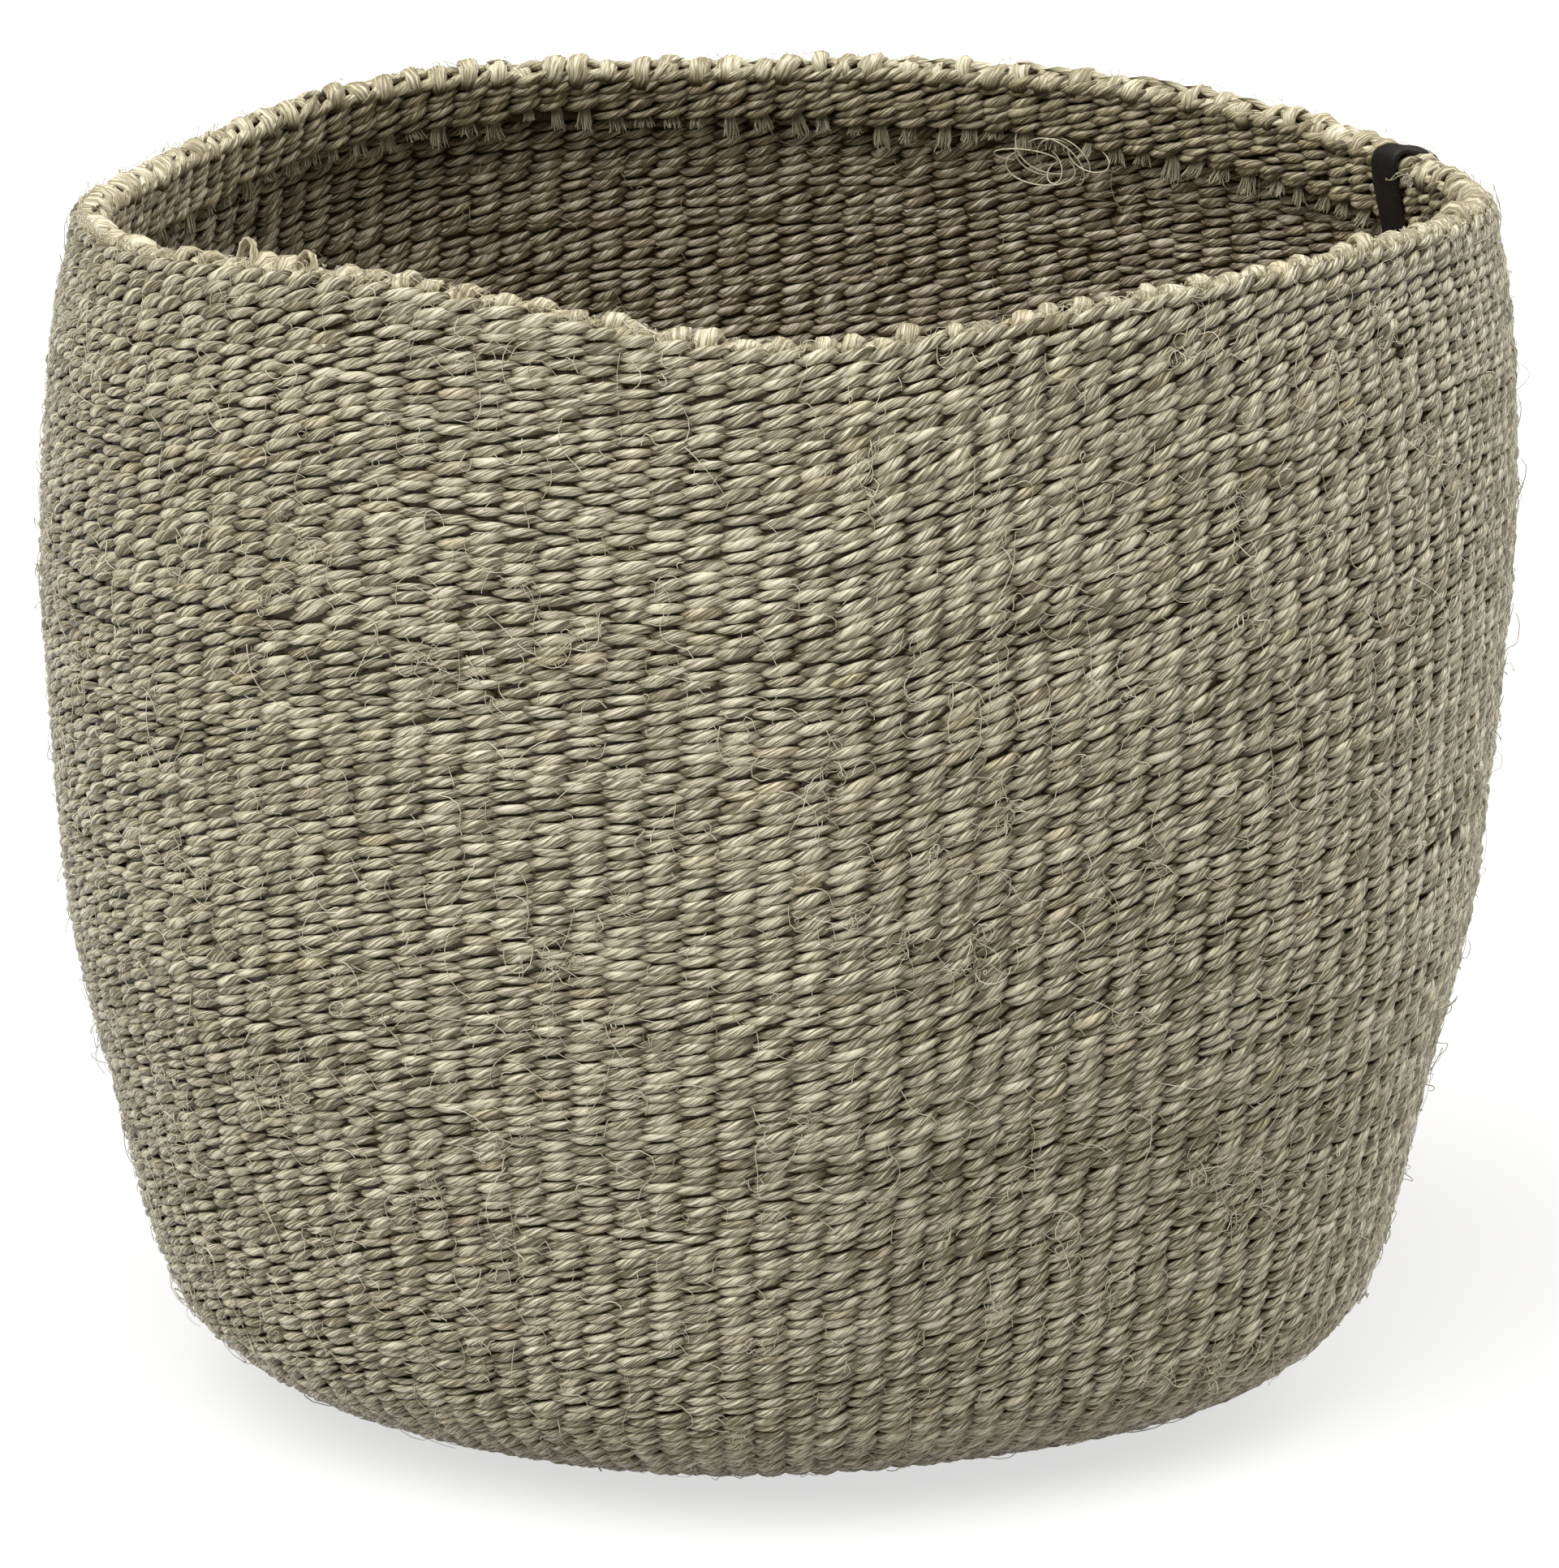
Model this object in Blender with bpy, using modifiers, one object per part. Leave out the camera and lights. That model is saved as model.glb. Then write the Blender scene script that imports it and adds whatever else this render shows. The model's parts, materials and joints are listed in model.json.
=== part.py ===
"""Kiondo: a soft, round, twined sisal floor basket with a leather tab on its rim.

Every piece is built on the true round basket, as it comes off the weaver's lap, with the
tab at +X. The function slump then moves all points together into the soft, slightly
squared form of the standing basket, so pieces that fit before still fit after it.
"""

import math

import bmesh
import bpy
from mathutils import Vector

# Overall form, in metres: the outer face as shares of the belly's radius, each at a share of
# the height.
BASKET_HEIGHT = 0.360
BELLY_RADIUS = 0.211
RADIUS_SHARES = (0.602, 0.760, 0.883, 0.944, 0.996, 1.0, 0.972, 0.917)
HEIGHT_SHARES = (0.0, 0.03, 0.10, 0.25, 0.45, 0.65, 0.85, 1.0)

# Stations of the turn, where the base rounds up into the wall, as shares of its height.
TURN_HEIGHT = 0.036
OUTER_TURN_SHARES = (0.0, 0.12, 0.30, 0.60, 1.0)
INNER_TURN_SHARES = (0.30, 0.62, 1.0)

# Stations of the wall, as shares of the height from the turn to the cut ends.
OUTER_WALL_SHARES = (0.0, 0.07, 0.15, 0.24, 0.34, 0.44, 0.55, 0.66, 0.77, 0.87, 0.945)
INNER_WALL_SHARES = (0.0, 0.16, 0.36, 0.58, 0.80)

# Weave: one warp cord each pitch, twined weft on both sides of it.
WARP_COUNT = 126
WEAVE_THICKNESS = 0.0060
FIT_GAP = 0.0003
WALL_FOOT_WIDTH = 0.0062
START_RADIUS = 0.0170
START_BOSS_HEIGHT = 0.0022
START_ARM_LENGTH_SHARE = 0.82
START_ARM_WIDTH_SHARE = 0.26

# Rim: each warp turns over the edge and goes down inside, behind the hem's rows.
LOOP_RISE = 0.0050
LOOP_SETBACK = 0.0008
VALLEY_RISE_SHARE = 0.52
VALLEY_REACH_SHARE = 0.78
TURNED_WARP_THICKNESS = 0.0015
CUT_END_LENGTH = 0.0056

# Round of a loop, from its outer seat over the top to its inner seat: shares of the outer
# reach, taken as negative, or of the inner reach, each with the share of the rise.
LOOP_ROUND_SHARES = (
    (-0.92, 0.0),
    (-1.0, 0.35),
    (-0.72, 0.80),
    (-0.22, 1.0),
    (0.40, 0.90),
    (0.90, 0.55),
    (1.0, 0.0),
)

# Hem: a short second layer of twining over the turned-down warps, crowned at mid-height.
HEM_HEIGHT = 0.0210
HEM_EDGE_THICKNESS = 0.0028
HEM_CROWN = 0.0009

# Leather tab folded over the rim.
TAB_ANGLE = math.radians(23.8)
TAB_WIDTH = 0.0130
TAB_THICKNESS = 0.0020
TAB_LEG_LENGTH = 0.0340
TAB_CROWN_RISE = 0.0012

# Stations down each leg of the tab, and over its fold: shares of the way across, each with
# the share of the crown's rise.
TAB_LEG_SHARES = (1.0, 0.97, 0.88, 0.55, 0.2)
TAB_FOLD_SHARES = ((0.0, -2.2), (0.18, -0.4), (0.5, 1.0), (0.82, 0.0), (1.0, -2.2))
TAB_TIP_SHARES = (0.45, 0.78)

# Soft form: for each count of lobes, the cosine and sine shares of the radius at the base,
# then at the rim.
LOBE_SHARES = (
    (2, -0.008, 0.006, 0.080, 0.024),
    (3, 0.0, -0.013, 0.019, 0.002),
    (4, -0.019, -0.005, -0.005, 0.011),
    (5, -0.005, -0.006, 0.006, 0.007),
    (6, -0.009, 0.001, 0.0, 0.003),
)

# Uneven rim: for each count of waves, the cosine and sine shares of the height.
RIM_WAVE_SHARES = (
    (1, -0.004, 0.012),
    (2, -0.005, 0.003),
    (3, 0.003, -0.010),
    (4, -0.009, -0.002),
    (5, -0.001, 0.0),
    (6, 0.003, 0.0),
    (7, -0.001, -0.002),
)

WELD_DISTANCE = 0.00001
SLOPE_STEP_SHARE = 0.001
SMOOTH_ANGLE = math.radians(35.0)

# Radii, levels and insets that follow from the sizes above.
OUTER_RADII = [BELLY_RADIUS * share for share in RADIUS_SHARES]
BASE_RADIUS = OUTER_RADII[0] - WALL_FOOT_WIDTH - FIT_GAP
WALL_TOP = BASKET_HEIGHT - LOOP_RISE - FIT_GAP
LOOP_SEAT = WALL_TOP + FIT_GAP
HEM_BOTTOM = WALL_TOP - HEM_HEIGHT
CUT_LEVEL = HEM_BOTTOM - CUT_END_LENGTH
LEG_OUTER_INSET = WEAVE_THICKNESS + FIT_GAP
LEG_INNER_INSET = LEG_OUTER_INSET + TURNED_WARP_THICKNESS
HEM_BACK_INSET = LEG_INNER_INSET + FIT_GAP
HEM_EDGE_INSET = HEM_BACK_INSET + HEM_EDGE_THICKNESS
HEM_CROWN_INSET = HEM_EDGE_INSET + HEM_CROWN


def clear_scene():
    for obj in list(bpy.data.objects):
        bpy.data.objects.remove(obj, do_unlink=True)


def new_collection(name):
    collection = bpy.data.collections.new(name)
    bpy.context.scene.collection.children.link(collection)
    return collection


def linear(channel):
    value = channel / 255.0
    return value / 12.92 if value <= 0.04045 else ((value + 0.055) / 1.055) ** 2.4


def make_material(name, srgb, roughness):
    material = bpy.data.materials.new(name)
    material.use_nodes = True
    shader = material.node_tree.nodes["Principled BSDF"]
    shader.inputs["Base Color"].default_value = (*(linear(channel) for channel in srgb), 1.0)
    shader.inputs["Roughness"].default_value = roughness
    return material


def weft_material():
    return make_material("twined_sisal", (148, 140, 117), 0.85)


def hem_material():
    return make_material("hem_sisal", (132, 124, 101), 0.85)


def base_material():
    return make_material("base_sisal", (138, 130, 108), 0.88)


def start_material():
    return make_material("crossed_warp_sisal", (156, 147, 122), 0.88)


def warp_material():
    return make_material("warp_sisal", (206, 196, 166), 0.80)


def leather_material():
    return make_material("black_leather", (24, 20, 18), 0.45)


def knot_slopes():
    """Slopes at the profile's knots that never overshoot it."""
    steps = [
        (HEIGHT_SHARES[i + 1] - HEIGHT_SHARES[i]) * BASKET_HEIGHT
        for i in range(len(HEIGHT_SHARES) - 1)
    ]
    rises = [(OUTER_RADII[i + 1] - OUTER_RADII[i]) / steps[i] for i in range(len(steps))]
    slopes = [rises[0]]
    for i in range(1, len(steps)):
        if rises[i - 1] * rises[i] <= 0.0:
            slopes.append(0.0)
            continue
        before = 2.0 * steps[i] + steps[i - 1]
        after = steps[i] + 2.0 * steps[i - 1]
        slopes.append((before + after) / (before / rises[i - 1] + after / rises[i]))
    slopes.append(rises[-1])
    return slopes


KNOT_SLOPES = knot_slopes()


def outer_radius(height):
    """Radius of the outer face at a height, running straight on past the rim."""
    top = BASKET_HEIGHT
    if height >= top:
        return OUTER_RADII[-1] + KNOT_SLOPES[-1] * (height - top)
    share = max(height, 0.0) / top
    i = max(n for n in range(len(HEIGHT_SHARES) - 1) if HEIGHT_SHARES[n] <= share)
    step = (HEIGHT_SHARES[i + 1] - HEIGHT_SHARES[i]) * top
    u = (height - HEIGHT_SHARES[i] * top) / step
    return (
        (2 * u**3 - 3 * u**2 + 1) * OUTER_RADII[i]
        + (u**3 - 2 * u**2 + u) * step * KNOT_SLOPES[i]
        + (3 * u**2 - 2 * u**3) * OUTER_RADII[i + 1]
        + (u**3 - u**2) * step * KNOT_SLOPES[i + 1]
    )


def wall_point(height, inset):
    """Radius and height of a point that lies inset inwards, square to the outer face."""
    reach = SLOPE_STEP_SHARE * BASKET_HEIGHT
    low = max(height - reach, 0.0)
    run = outer_radius(height + reach) - outer_radius(low)
    rise = height + reach - low
    length = math.hypot(run, rise)
    return (outer_radius(height) - inset * rise / length, height + inset * run / length)


def slump(point):
    """Moves a point of the round basket to its place on the soft, standing one."""
    radius = math.hypot(point.x, point.y)
    angle = math.atan2(point.y, point.x) + TAB_ANGLE
    share = point.z / BASKET_HEIGHT
    swell = 1.0
    for count, base_cos, base_sin, rim_cos, rim_sin in LOBE_SHARES:
        swell += (base_cos * (1.0 - share) + rim_cos * share) * math.cos(count * angle)
        swell += (base_sin * (1.0 - share) + rim_sin * share) * math.sin(count * angle)
    lift = 1.0
    for count, wave_cos, wave_sin in RIM_WAVE_SHARES:
        lift += wave_cos * math.cos(count * angle) + wave_sin * math.sin(count * angle)
    return Vector((
        radius * swell * math.cos(angle),
        radius * swell * math.sin(angle),
        point.z * lift,
    ))


def finish_mesh(obj, material):
    """Slumps the mesh, turns its faces outwards and gives it its material."""
    mesh = bmesh.new()
    mesh.from_mesh(obj.data)
    for vertex in mesh.verts:
        vertex.co = slump(vertex.co)
    bmesh.ops.recalc_face_normals(mesh, faces=mesh.faces)
    mesh.to_mesh(obj.data)
    mesh.free()
    obj.data.shade_smooth()
    obj.data.set_sharp_from_angle(angle=SMOOTH_ANGLE)
    obj.data.materials.clear()
    obj.data.materials.append(material)


def turned_piece(collection, name, outline, material):
    """Turns a closed outline of radii and heights about the basket's axis."""
    mesh = bpy.data.meshes.new(name)
    count = len(outline)
    mesh.from_pydata(
        [(radius, 0.0, height) for radius, height in outline],
        [(i, (i + 1) % count) for i in range(count)],
        [],
    )
    obj = bpy.data.objects.new(name, mesh)
    collection.objects.link(obj)
    screw = obj.modifiers.new("turn", "SCREW")
    screw.axis = "Z"
    screw.angle = math.tau
    screw.steps = WARP_COUNT
    screw.render_steps = WARP_COUNT
    screw.use_merge_vertices = True
    screw.merge_threshold = WELD_DISTANCE
    bpy.context.view_layer.objects.active = obj
    obj.select_set(True)
    bpy.ops.object.modifier_apply(modifier=screw.name)
    obj.select_set(False)
    finish_mesh(obj, material)
    return obj


def lofted_piece(collection, name, sections, material, closed):
    """Skins a row of sections, each with the same number of points."""
    mesh = bmesh.new()
    rings = [[mesh.verts.new(point) for point in section] for section in sections]
    count = len(rings[0])
    for i in range(len(rings) if closed else len(rings) - 1):
        here = rings[i]
        there = rings[(i + 1) % len(rings)]
        for j in range(count):
            k = (j + 1) % count
            mesh.faces.new((here[j], here[k], there[k], there[j]))
    if not closed:
        mesh.faces.new(rings[0])
        mesh.faces.new(list(reversed(rings[-1])))
    data = bpy.data.meshes.new(name)
    mesh.to_mesh(data)
    mesh.free()
    obj = bpy.data.objects.new(name, data)
    collection.objects.link(obj)
    finish_mesh(obj, material)
    return obj


def build_base(collection):
    """Flat floor of the basket, open at the middle for the crossed start."""
    hole = START_RADIUS + FIT_GAP
    outline = [
        (hole, WEAVE_THICKNESS),
        (BASE_RADIUS, WEAVE_THICKNESS),
        (BASE_RADIUS, 0.0),
        (hole, 0.0),
    ]
    return turned_piece(collection, "base_weave", outline, base_material())


def own_mesh(obj, name, collection):
    """Moves a new primitive's place into its mesh, and the object to its collection."""
    bpy.context.view_layer.update()
    obj.data.transform(obj.matrix_world)
    obj.matrix_world.identity()
    obj.name = name
    obj.data.name = name
    for other in list(obj.users_collection):
        other.objects.unlink(obj)
    collection.objects.link(obj)
    return obj


def build_start(collection):
    """Crossed first warps, bound together where the weaving begins."""
    bpy.ops.mesh.primitive_cylinder_add(
        vertices=WARP_COUNT // 3,
        radius=START_RADIUS,
        depth=WEAVE_THICKNESS,
        location=(0.0, 0.0, WEAVE_THICKNESS / 2.0),
    )
    start = own_mesh(bpy.context.active_object, "warp_start_cross", collection)
    for arm_turn in (0.0, math.pi / 2.0):
        add_start_arm(start, arm_turn)
    finish_mesh(start, start_material())
    return start


def add_start_arm(start, arm_turn):
    """Joins one raised bundle of warps to the disc of the start."""
    width = 2.0 * START_RADIUS
    depth = WEAVE_THICKNESS / 2.0 + START_BOSS_HEIGHT
    bpy.ops.mesh.primitive_cube_add(
        size=1.0,
        location=(0.0, 0.0, WEAVE_THICKNESS / 2.0 + depth / 2.0),
        rotation=(0.0, 0.0, arm_turn),
        scale=(width * START_ARM_LENGTH_SHARE, width * START_ARM_WIDTH_SHARE, depth),
    )
    arm = own_mesh(bpy.context.active_object, "start_arm", bpy.data.collections["construction"])
    arm.hide_render = True
    arm.display_type = "WIRE"
    joined = start.modifiers.new("arm", "BOOLEAN")
    joined.operation = "UNION"
    joined.solver = "EXACT"
    joined.object = arm
    bpy.context.view_layer.objects.active = start
    bpy.ops.object.modifier_apply(modifier=joined.name)
    bpy.data.objects.remove(arm, do_unlink=True)


def build_turn(collection):
    """Rounded lower rows, whose foot turns in under the basket to meet the base."""
    outer = [wall_point(share * TURN_HEIGHT, 0.0) for share in reversed(OUTER_TURN_SHARES)]
    inner = [wall_point(share * TURN_HEIGHT, WEAVE_THICKNESS) for share in INNER_TURN_SHARES]
    foot = BASE_RADIUS + FIT_GAP
    outline = outer + [(foot, 0.0), (foot, WEAVE_THICKNESS)] + inner
    return turned_piece(collection, "base_turn_weave", outline, weft_material())


def build_wall(collection):
    """Bellied wall, from the turn up to the row of warp loops."""
    low = TURN_HEIGHT + FIT_GAP
    span = CUT_LEVEL - low
    outer_heights = [low + share * span for share in OUTER_WALL_SHARES] + [CUT_LEVEL, WALL_TOP]
    inner_heights = [low + share * span for share in INNER_WALL_SHARES] + [CUT_LEVEL, WALL_TOP]
    outer = [wall_point(height, 0.0) for height in reversed(outer_heights)]
    inner = [wall_point(height, WEAVE_THICKNESS) for height in inner_heights]
    return turned_piece(collection, "wall_weave", outer + inner, weft_material())


def build_hem(collection):
    """Inner band of twined rows that holds the turned-down warps."""
    outline = [
        wall_point(HEM_BOTTOM, HEM_BACK_INSET),
        wall_point(WALL_TOP, HEM_BACK_INSET),
        wall_point(WALL_TOP, HEM_EDGE_INSET),
        wall_point((WALL_TOP + HEM_BOTTOM) / 2.0, HEM_CROWN_INSET),
        wall_point(HEM_BOTTOM, HEM_EDGE_INSET),
    ]
    return turned_piece(collection, "hem_weave", outline, hem_material())


def warp_section(rise_share, reach_share, lower_end):
    """Inverted J of a warp that turns over the wall's edge and goes down behind the hem."""
    middle = (LEG_OUTER_INSET + LEG_INNER_INSET) / 2.0
    outer_reach = middle - LOOP_SETBACK
    inner_reach = HEM_CROWN_INSET - LOOP_SETBACK - middle
    section = [wall_point(lower_end, LEG_OUTER_INSET), wall_point(LOOP_SEAT, LEG_OUTER_INSET)]
    for reach, rise in LOOP_ROUND_SHARES:
        side = outer_reach if reach < 0.0 else inner_reach
        height = LOOP_SEAT + rise * rise_share * LOOP_RISE
        section.append(wall_point(height, middle + reach * reach_share * side))
    section.append(wall_point(LOOP_SEAT, LEG_INNER_INSET))
    section.append(wall_point(lower_end, LEG_INNER_INSET))
    return section


def build_turned_warps(collection):
    """Row of plump warp loops along the rim, with their cut ends below the hem."""
    full = warp_section(1.0, 1.0, CUT_LEVEL)
    slack = warp_section(VALLEY_RISE_SHARE, VALLEY_REACH_SHARE, HEM_BOTTOM)
    sections = []
    for step in range(2 * WARP_COUNT):
        angle = math.pi * step / WARP_COUNT
        section = slack if step % 2 else full
        sections.append([
            Vector((radius * math.cos(angle), radius * math.sin(angle), height))
            for radius, height in section
        ])
    return lofted_piece(collection, "turned_warp_ends", sections, warp_material(), True)


def tab_path():
    """Line of the tab's inner face from the outer leg's tip over the rim to the inner tip."""
    crown = LOOP_SEAT + LOOP_RISE + FIT_GAP
    outer = -FIT_GAP
    inner = HEM_CROWN_INSET + FIT_GAP
    span = inner - outer
    path = [(WALL_TOP - TAB_LEG_LENGTH * share, outer) for share in TAB_LEG_SHARES]
    path.extend(
        (crown + TAB_CROWN_RISE * rise, outer + span * share) for share, rise in TAB_FOLD_SHARES
    )
    path.extend(
        (WALL_TOP - TAB_LEG_LENGTH * share, inner) for share in reversed(TAB_LEG_SHARES)
    )
    return [wall_point(height, inset) for height, inset in path]


def build_tab(collection):
    """Strip of leather folded over the rim, with rounded tips."""
    path = tab_path()
    last = len(path) - 1
    sections = []
    for i, (radius, height) in enumerate(path):
        before = path[max(i - 1, 0)]
        after = path[min(i + 1, last)]
        run = after[0] - before[0]
        rise = after[1] - before[1]
        length = math.hypot(run, rise)
        outer_radius_here = radius + TAB_THICKNESS * rise / length
        outer_height_here = height - TAB_THICKNESS * run / length
        from_tip = min(i, last - i)
        half = TAB_WIDTH / 2.0
        if from_tip < len(TAB_TIP_SHARES):
            half *= TAB_TIP_SHARES[from_tip]
        sections.append([
            Vector((radius, -half, height)),
            Vector((radius, 0.0, height)),
            Vector((radius, half, height)),
            Vector((outer_radius_here, half, outer_height_here)),
            Vector((outer_radius_here, 0.0, outer_height_here)),
            Vector((outer_radius_here, -half, outer_height_here)),
        ])
    return lofted_piece(collection, "leather_tab", sections, leather_material(), False)


def centre_on_floor(pieces):
    """Puts the middle of the whole basket over the origin."""
    points = [vertex.co for piece in pieces for vertex in piece.data.vertices]
    shift = Vector((
        (min(point.x for point in points) + max(point.x for point in points)) / 2.0,
        (min(point.y for point in points) + max(point.y for point in points)) / 2.0,
        0.0,
    ))
    for piece in pieces:
        for vertex in piece.data.vertices:
            vertex.co -= shift


def build():
    clear_scene()
    basket = new_collection("kiondo_basket")
    new_collection("construction")
    pieces = [
        build_base(basket),
        build_start(basket),
        build_turn(basket),
        build_wall(basket),
        build_turned_warps(basket),
        build_hem(basket),
        build_tab(basket),
    ]
    centre_on_floor(pieces)


build()
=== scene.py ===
import json
import math

import bmesh
import bpy
import numpy as np
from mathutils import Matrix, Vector

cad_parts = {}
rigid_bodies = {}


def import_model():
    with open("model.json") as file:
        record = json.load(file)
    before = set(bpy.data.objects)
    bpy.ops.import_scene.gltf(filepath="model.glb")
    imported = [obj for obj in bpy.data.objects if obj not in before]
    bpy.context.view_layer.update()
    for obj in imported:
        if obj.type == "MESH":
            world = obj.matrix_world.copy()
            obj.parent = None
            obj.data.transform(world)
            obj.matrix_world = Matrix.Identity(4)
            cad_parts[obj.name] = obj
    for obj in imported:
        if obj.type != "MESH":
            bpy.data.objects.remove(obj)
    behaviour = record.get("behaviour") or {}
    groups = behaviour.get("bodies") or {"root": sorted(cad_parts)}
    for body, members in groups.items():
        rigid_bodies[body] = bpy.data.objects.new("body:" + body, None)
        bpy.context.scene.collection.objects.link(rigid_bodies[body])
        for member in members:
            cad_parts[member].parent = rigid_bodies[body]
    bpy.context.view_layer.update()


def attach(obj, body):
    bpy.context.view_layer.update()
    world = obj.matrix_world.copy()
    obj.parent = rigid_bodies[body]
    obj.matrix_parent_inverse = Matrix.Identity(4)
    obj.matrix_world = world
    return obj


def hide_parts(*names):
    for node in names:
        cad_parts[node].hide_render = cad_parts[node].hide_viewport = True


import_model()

# Camera: a long lens a little over two metres away, looking down on the basket at sixteen
# degrees. Place, tilt and focal length were fitted to the basket's outline.
camera_data = bpy.data.cameras.new("studio_camera")
camera_data.sensor_fit = "HORIZONTAL"
camera_data.sensor_width = 36.0
camera_data.lens = 36.0 * 9249.6 / 1921.0
camera_data.clip_end = 30.0
camera = bpy.data.objects.new("studio_camera", camera_data)
bpy.context.scene.collection.objects.link(camera)
camera.location = (-0.0012, -2.1776, 0.7807)
camera.rotation_euler = (math.radians(90.0 - 15.61), 0.0, 0.0)
bpy.context.scene.camera = camera


# Start of the basket: two bundles of sisal warp cords laid over each other at right angles and
# bound round with the first turns of weft. Every warp fans out from this cross, and the whole
# basket keeps the soft, uneven form below, squared at the rim and lobed at the foot.
HEIGHT = 0.360
BELLY_RADIUS = 0.211
FOOT_SHARE = 0.602
RADII = BELLY_RADIUS * np.array((FOOT_SHARE, 0.760, 0.883, 0.944, 0.996, 1.0, 0.972, 0.917))
LEVELS = (0.0, 0.03, 0.10, 0.25, 0.45, 0.65, 0.85, 1.0)
LOBES = (
    (2, -0.008, 0.006, 0.080, 0.024),
    (3, 0.0, -0.013, 0.019, 0.002),
    (4, -0.019, -0.005, -0.005, 0.011),
    (5, -0.005, -0.006, 0.006, 0.007),
    (6, -0.009, 0.001, 0.0, 0.003),
)
FOLD_ANGLE = math.radians(276.0)
FOLD_RISE = 0.016
FOLD_SPREAD = 0.30
HOLLOW_DEPTH = 0.0080
HOLLOW_SPREAD = 0.9
RIM_WAVES = (
    (1, -0.004, 0.012),
    (2, -0.005, 0.003),
    (3, 0.003, -0.010),
    (4, -0.009, -0.002),
    (5, -0.001, 0.0),
    (6, 0.003, 0.0),
    (7, -0.001, -0.002),
)
TAB_ANGLE = math.radians(21.8)
RIM_RADIUS = 0.19
WALL_TOP = 0.3547


def profile(height):
    """Radius of the round basket's outer face and its slope, at an array of heights."""
    knots = np.array(LEVELS) * HEIGHT
    steps = np.diff(knots)
    rises = np.diff(RADII) / steps
    slopes = np.empty(len(knots))
    slopes[0] = rises[0]
    slopes[-1] = rises[-1]
    for i in range(1, len(steps)):
        before = 2.0 * steps[i] + steps[i - 1]
        after = steps[i] + 2.0 * steps[i - 1]
        flat = rises[i - 1] * rises[i] <= 0.0
        slopes[i] = 0.0 if flat else (before + after) / (before / rises[i - 1] + after / rises[i])
    height = np.asarray(height, float)
    inside = np.clip(height, 0.0, HEIGHT)
    i = np.clip(np.searchsorted(knots, inside, side="right") - 1, 0, len(steps) - 1)
    u = (inside - knots[i]) / steps[i]
    radius = (
        (2 * u**3 - 3 * u**2 + 1) * RADII[i] + (u**3 - 2 * u**2 + u) * steps[i] * slopes[i]
        + (3 * u**2 - 2 * u**3) * RADII[i + 1] + (u**3 - u**2) * steps[i] * slopes[i + 1]
    )
    slope = (
        (6 * u**2 - 6 * u) * (RADII[i] - RADII[i + 1]) / steps[i]
        + (3 * u**2 - 4 * u + 1) * slopes[i] + (3 * u**2 - 2 * u) * slopes[i + 1]
    )
    beyond = height - inside
    return radius + beyond * slope, slope


def slump(radius, angle, height):
    """Places of round-basket points on the soft, standing basket."""
    share = height / HEIGHT
    swell = np.ones_like(share * angle)
    for count, base_cos, base_sin, rim_cos, rim_sin in LOBES:
        swell = swell + (base_cos * (1 - share) + rim_cos * share) * np.cos(count * angle)
        swell = swell + (base_sin * (1 - share) + rim_sin * share) * np.sin(count * angle)
    lean = (angle - FOLD_ANGLE + math.pi) % math.tau - math.pi
    fold = FOLD_RISE * np.exp(-np.sqrt(lean**2 + 0.0016) / FOLD_SPREAD)
    fold = fold - HOLLOW_DEPTH * np.exp(-(lean / HOLLOW_SPREAD) ** 2)
    fade = np.clip((share - 0.02) / 0.25, 0.0, 1.0) * np.clip((1.0 - share) / 0.18, 0.0, 1.0)
    radius = radius + fold * fade * fade * (3.0 - 2.0 * fade)
    lift = np.ones_like(share * angle)
    for count, wave_cos, wave_sin in RIM_WAVES:
        lift = lift + wave_cos * np.cos(count * angle) + wave_sin * np.sin(count * angle)
    return np.stack([
        radius * swell * np.cos(angle),
        radius * swell * np.sin(angle),
        height * lift,
    ], axis=-1)


def wall_place(angle, height, inset):
    """Points of the wall at an angle and height, set in from the outer face."""
    angle, height, inset = np.broadcast_arrays(angle, height, inset)
    radius, slope = profile(height)
    length = np.hypot(slope, 1.0)
    points = slump(radius - inset / length, angle, height + inset * slope / length)
    return points - middle


middle = np.zeros(3)
_angles, _heights = np.meshgrid(np.linspace(0, math.tau, 1009), np.linspace(0, WALL_TOP, 200))
_hull = wall_place(_angles, _heights, 0.0)
middle = np.array([*(_hull.min((0, 1)) + _hull.max((0, 1)))[:2] / 2.0, 0.0])


START_RADIUS = 0.0170
CORD_RADIUS = 0.0013


def base_place(angle, radius, inset):
    """Points of the flat base at an angle and radius, raised by inset from the floor."""
    angle, radius, inset = np.broadcast_arrays(angle, radius, inset)
    return slump(radius, angle, inset) - middle


def add(tree, kind, settings=None, inputs=None):
    """Adds a node with its settings, and its inputs as values or as links."""
    node = tree.nodes.new(kind)
    for key, value in (settings or {}).items():
        setattr(node, key, value)
    for key, value in (inputs or {}).items():
        if isinstance(value, bpy.types.NodeSocket):
            tree.links.new(value, node.inputs[key])
        else:
            node.inputs[key].default_value = value
    return node


yarn_tree = bpy.data.node_groups.new("yarns_on_paths", "GeometryNodeTree")
for _name, _kind in (
    ("Paths", "NodeSocketGeometry"),
    ("Sides", "NodeSocketInt"),
    ("Finish", "NodeSocketMaterial"),
):
    yarn_tree.interface.new_socket(_name, in_out="INPUT", socket_type=_kind)
yarn_tree.interface.new_socket("Yarns", in_out="OUTPUT", socket_type="NodeSocketGeometry")
_given = add(yarn_tree, "NodeGroupInput").outputs
_lines = add(yarn_tree, "GeometryNodeMeshToCurve", {}, {"Mesh": _given["Paths"]})
_along = add(yarn_tree, "GeometryNodeStoreNamedAttribute", {"data_type": "FLOAT"}, {
    "Geometry": _lines.outputs["Curve"], "Name": "along",
    "Value": add(yarn_tree, "GeometryNodeSplineParameter").outputs["Length"]})
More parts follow.
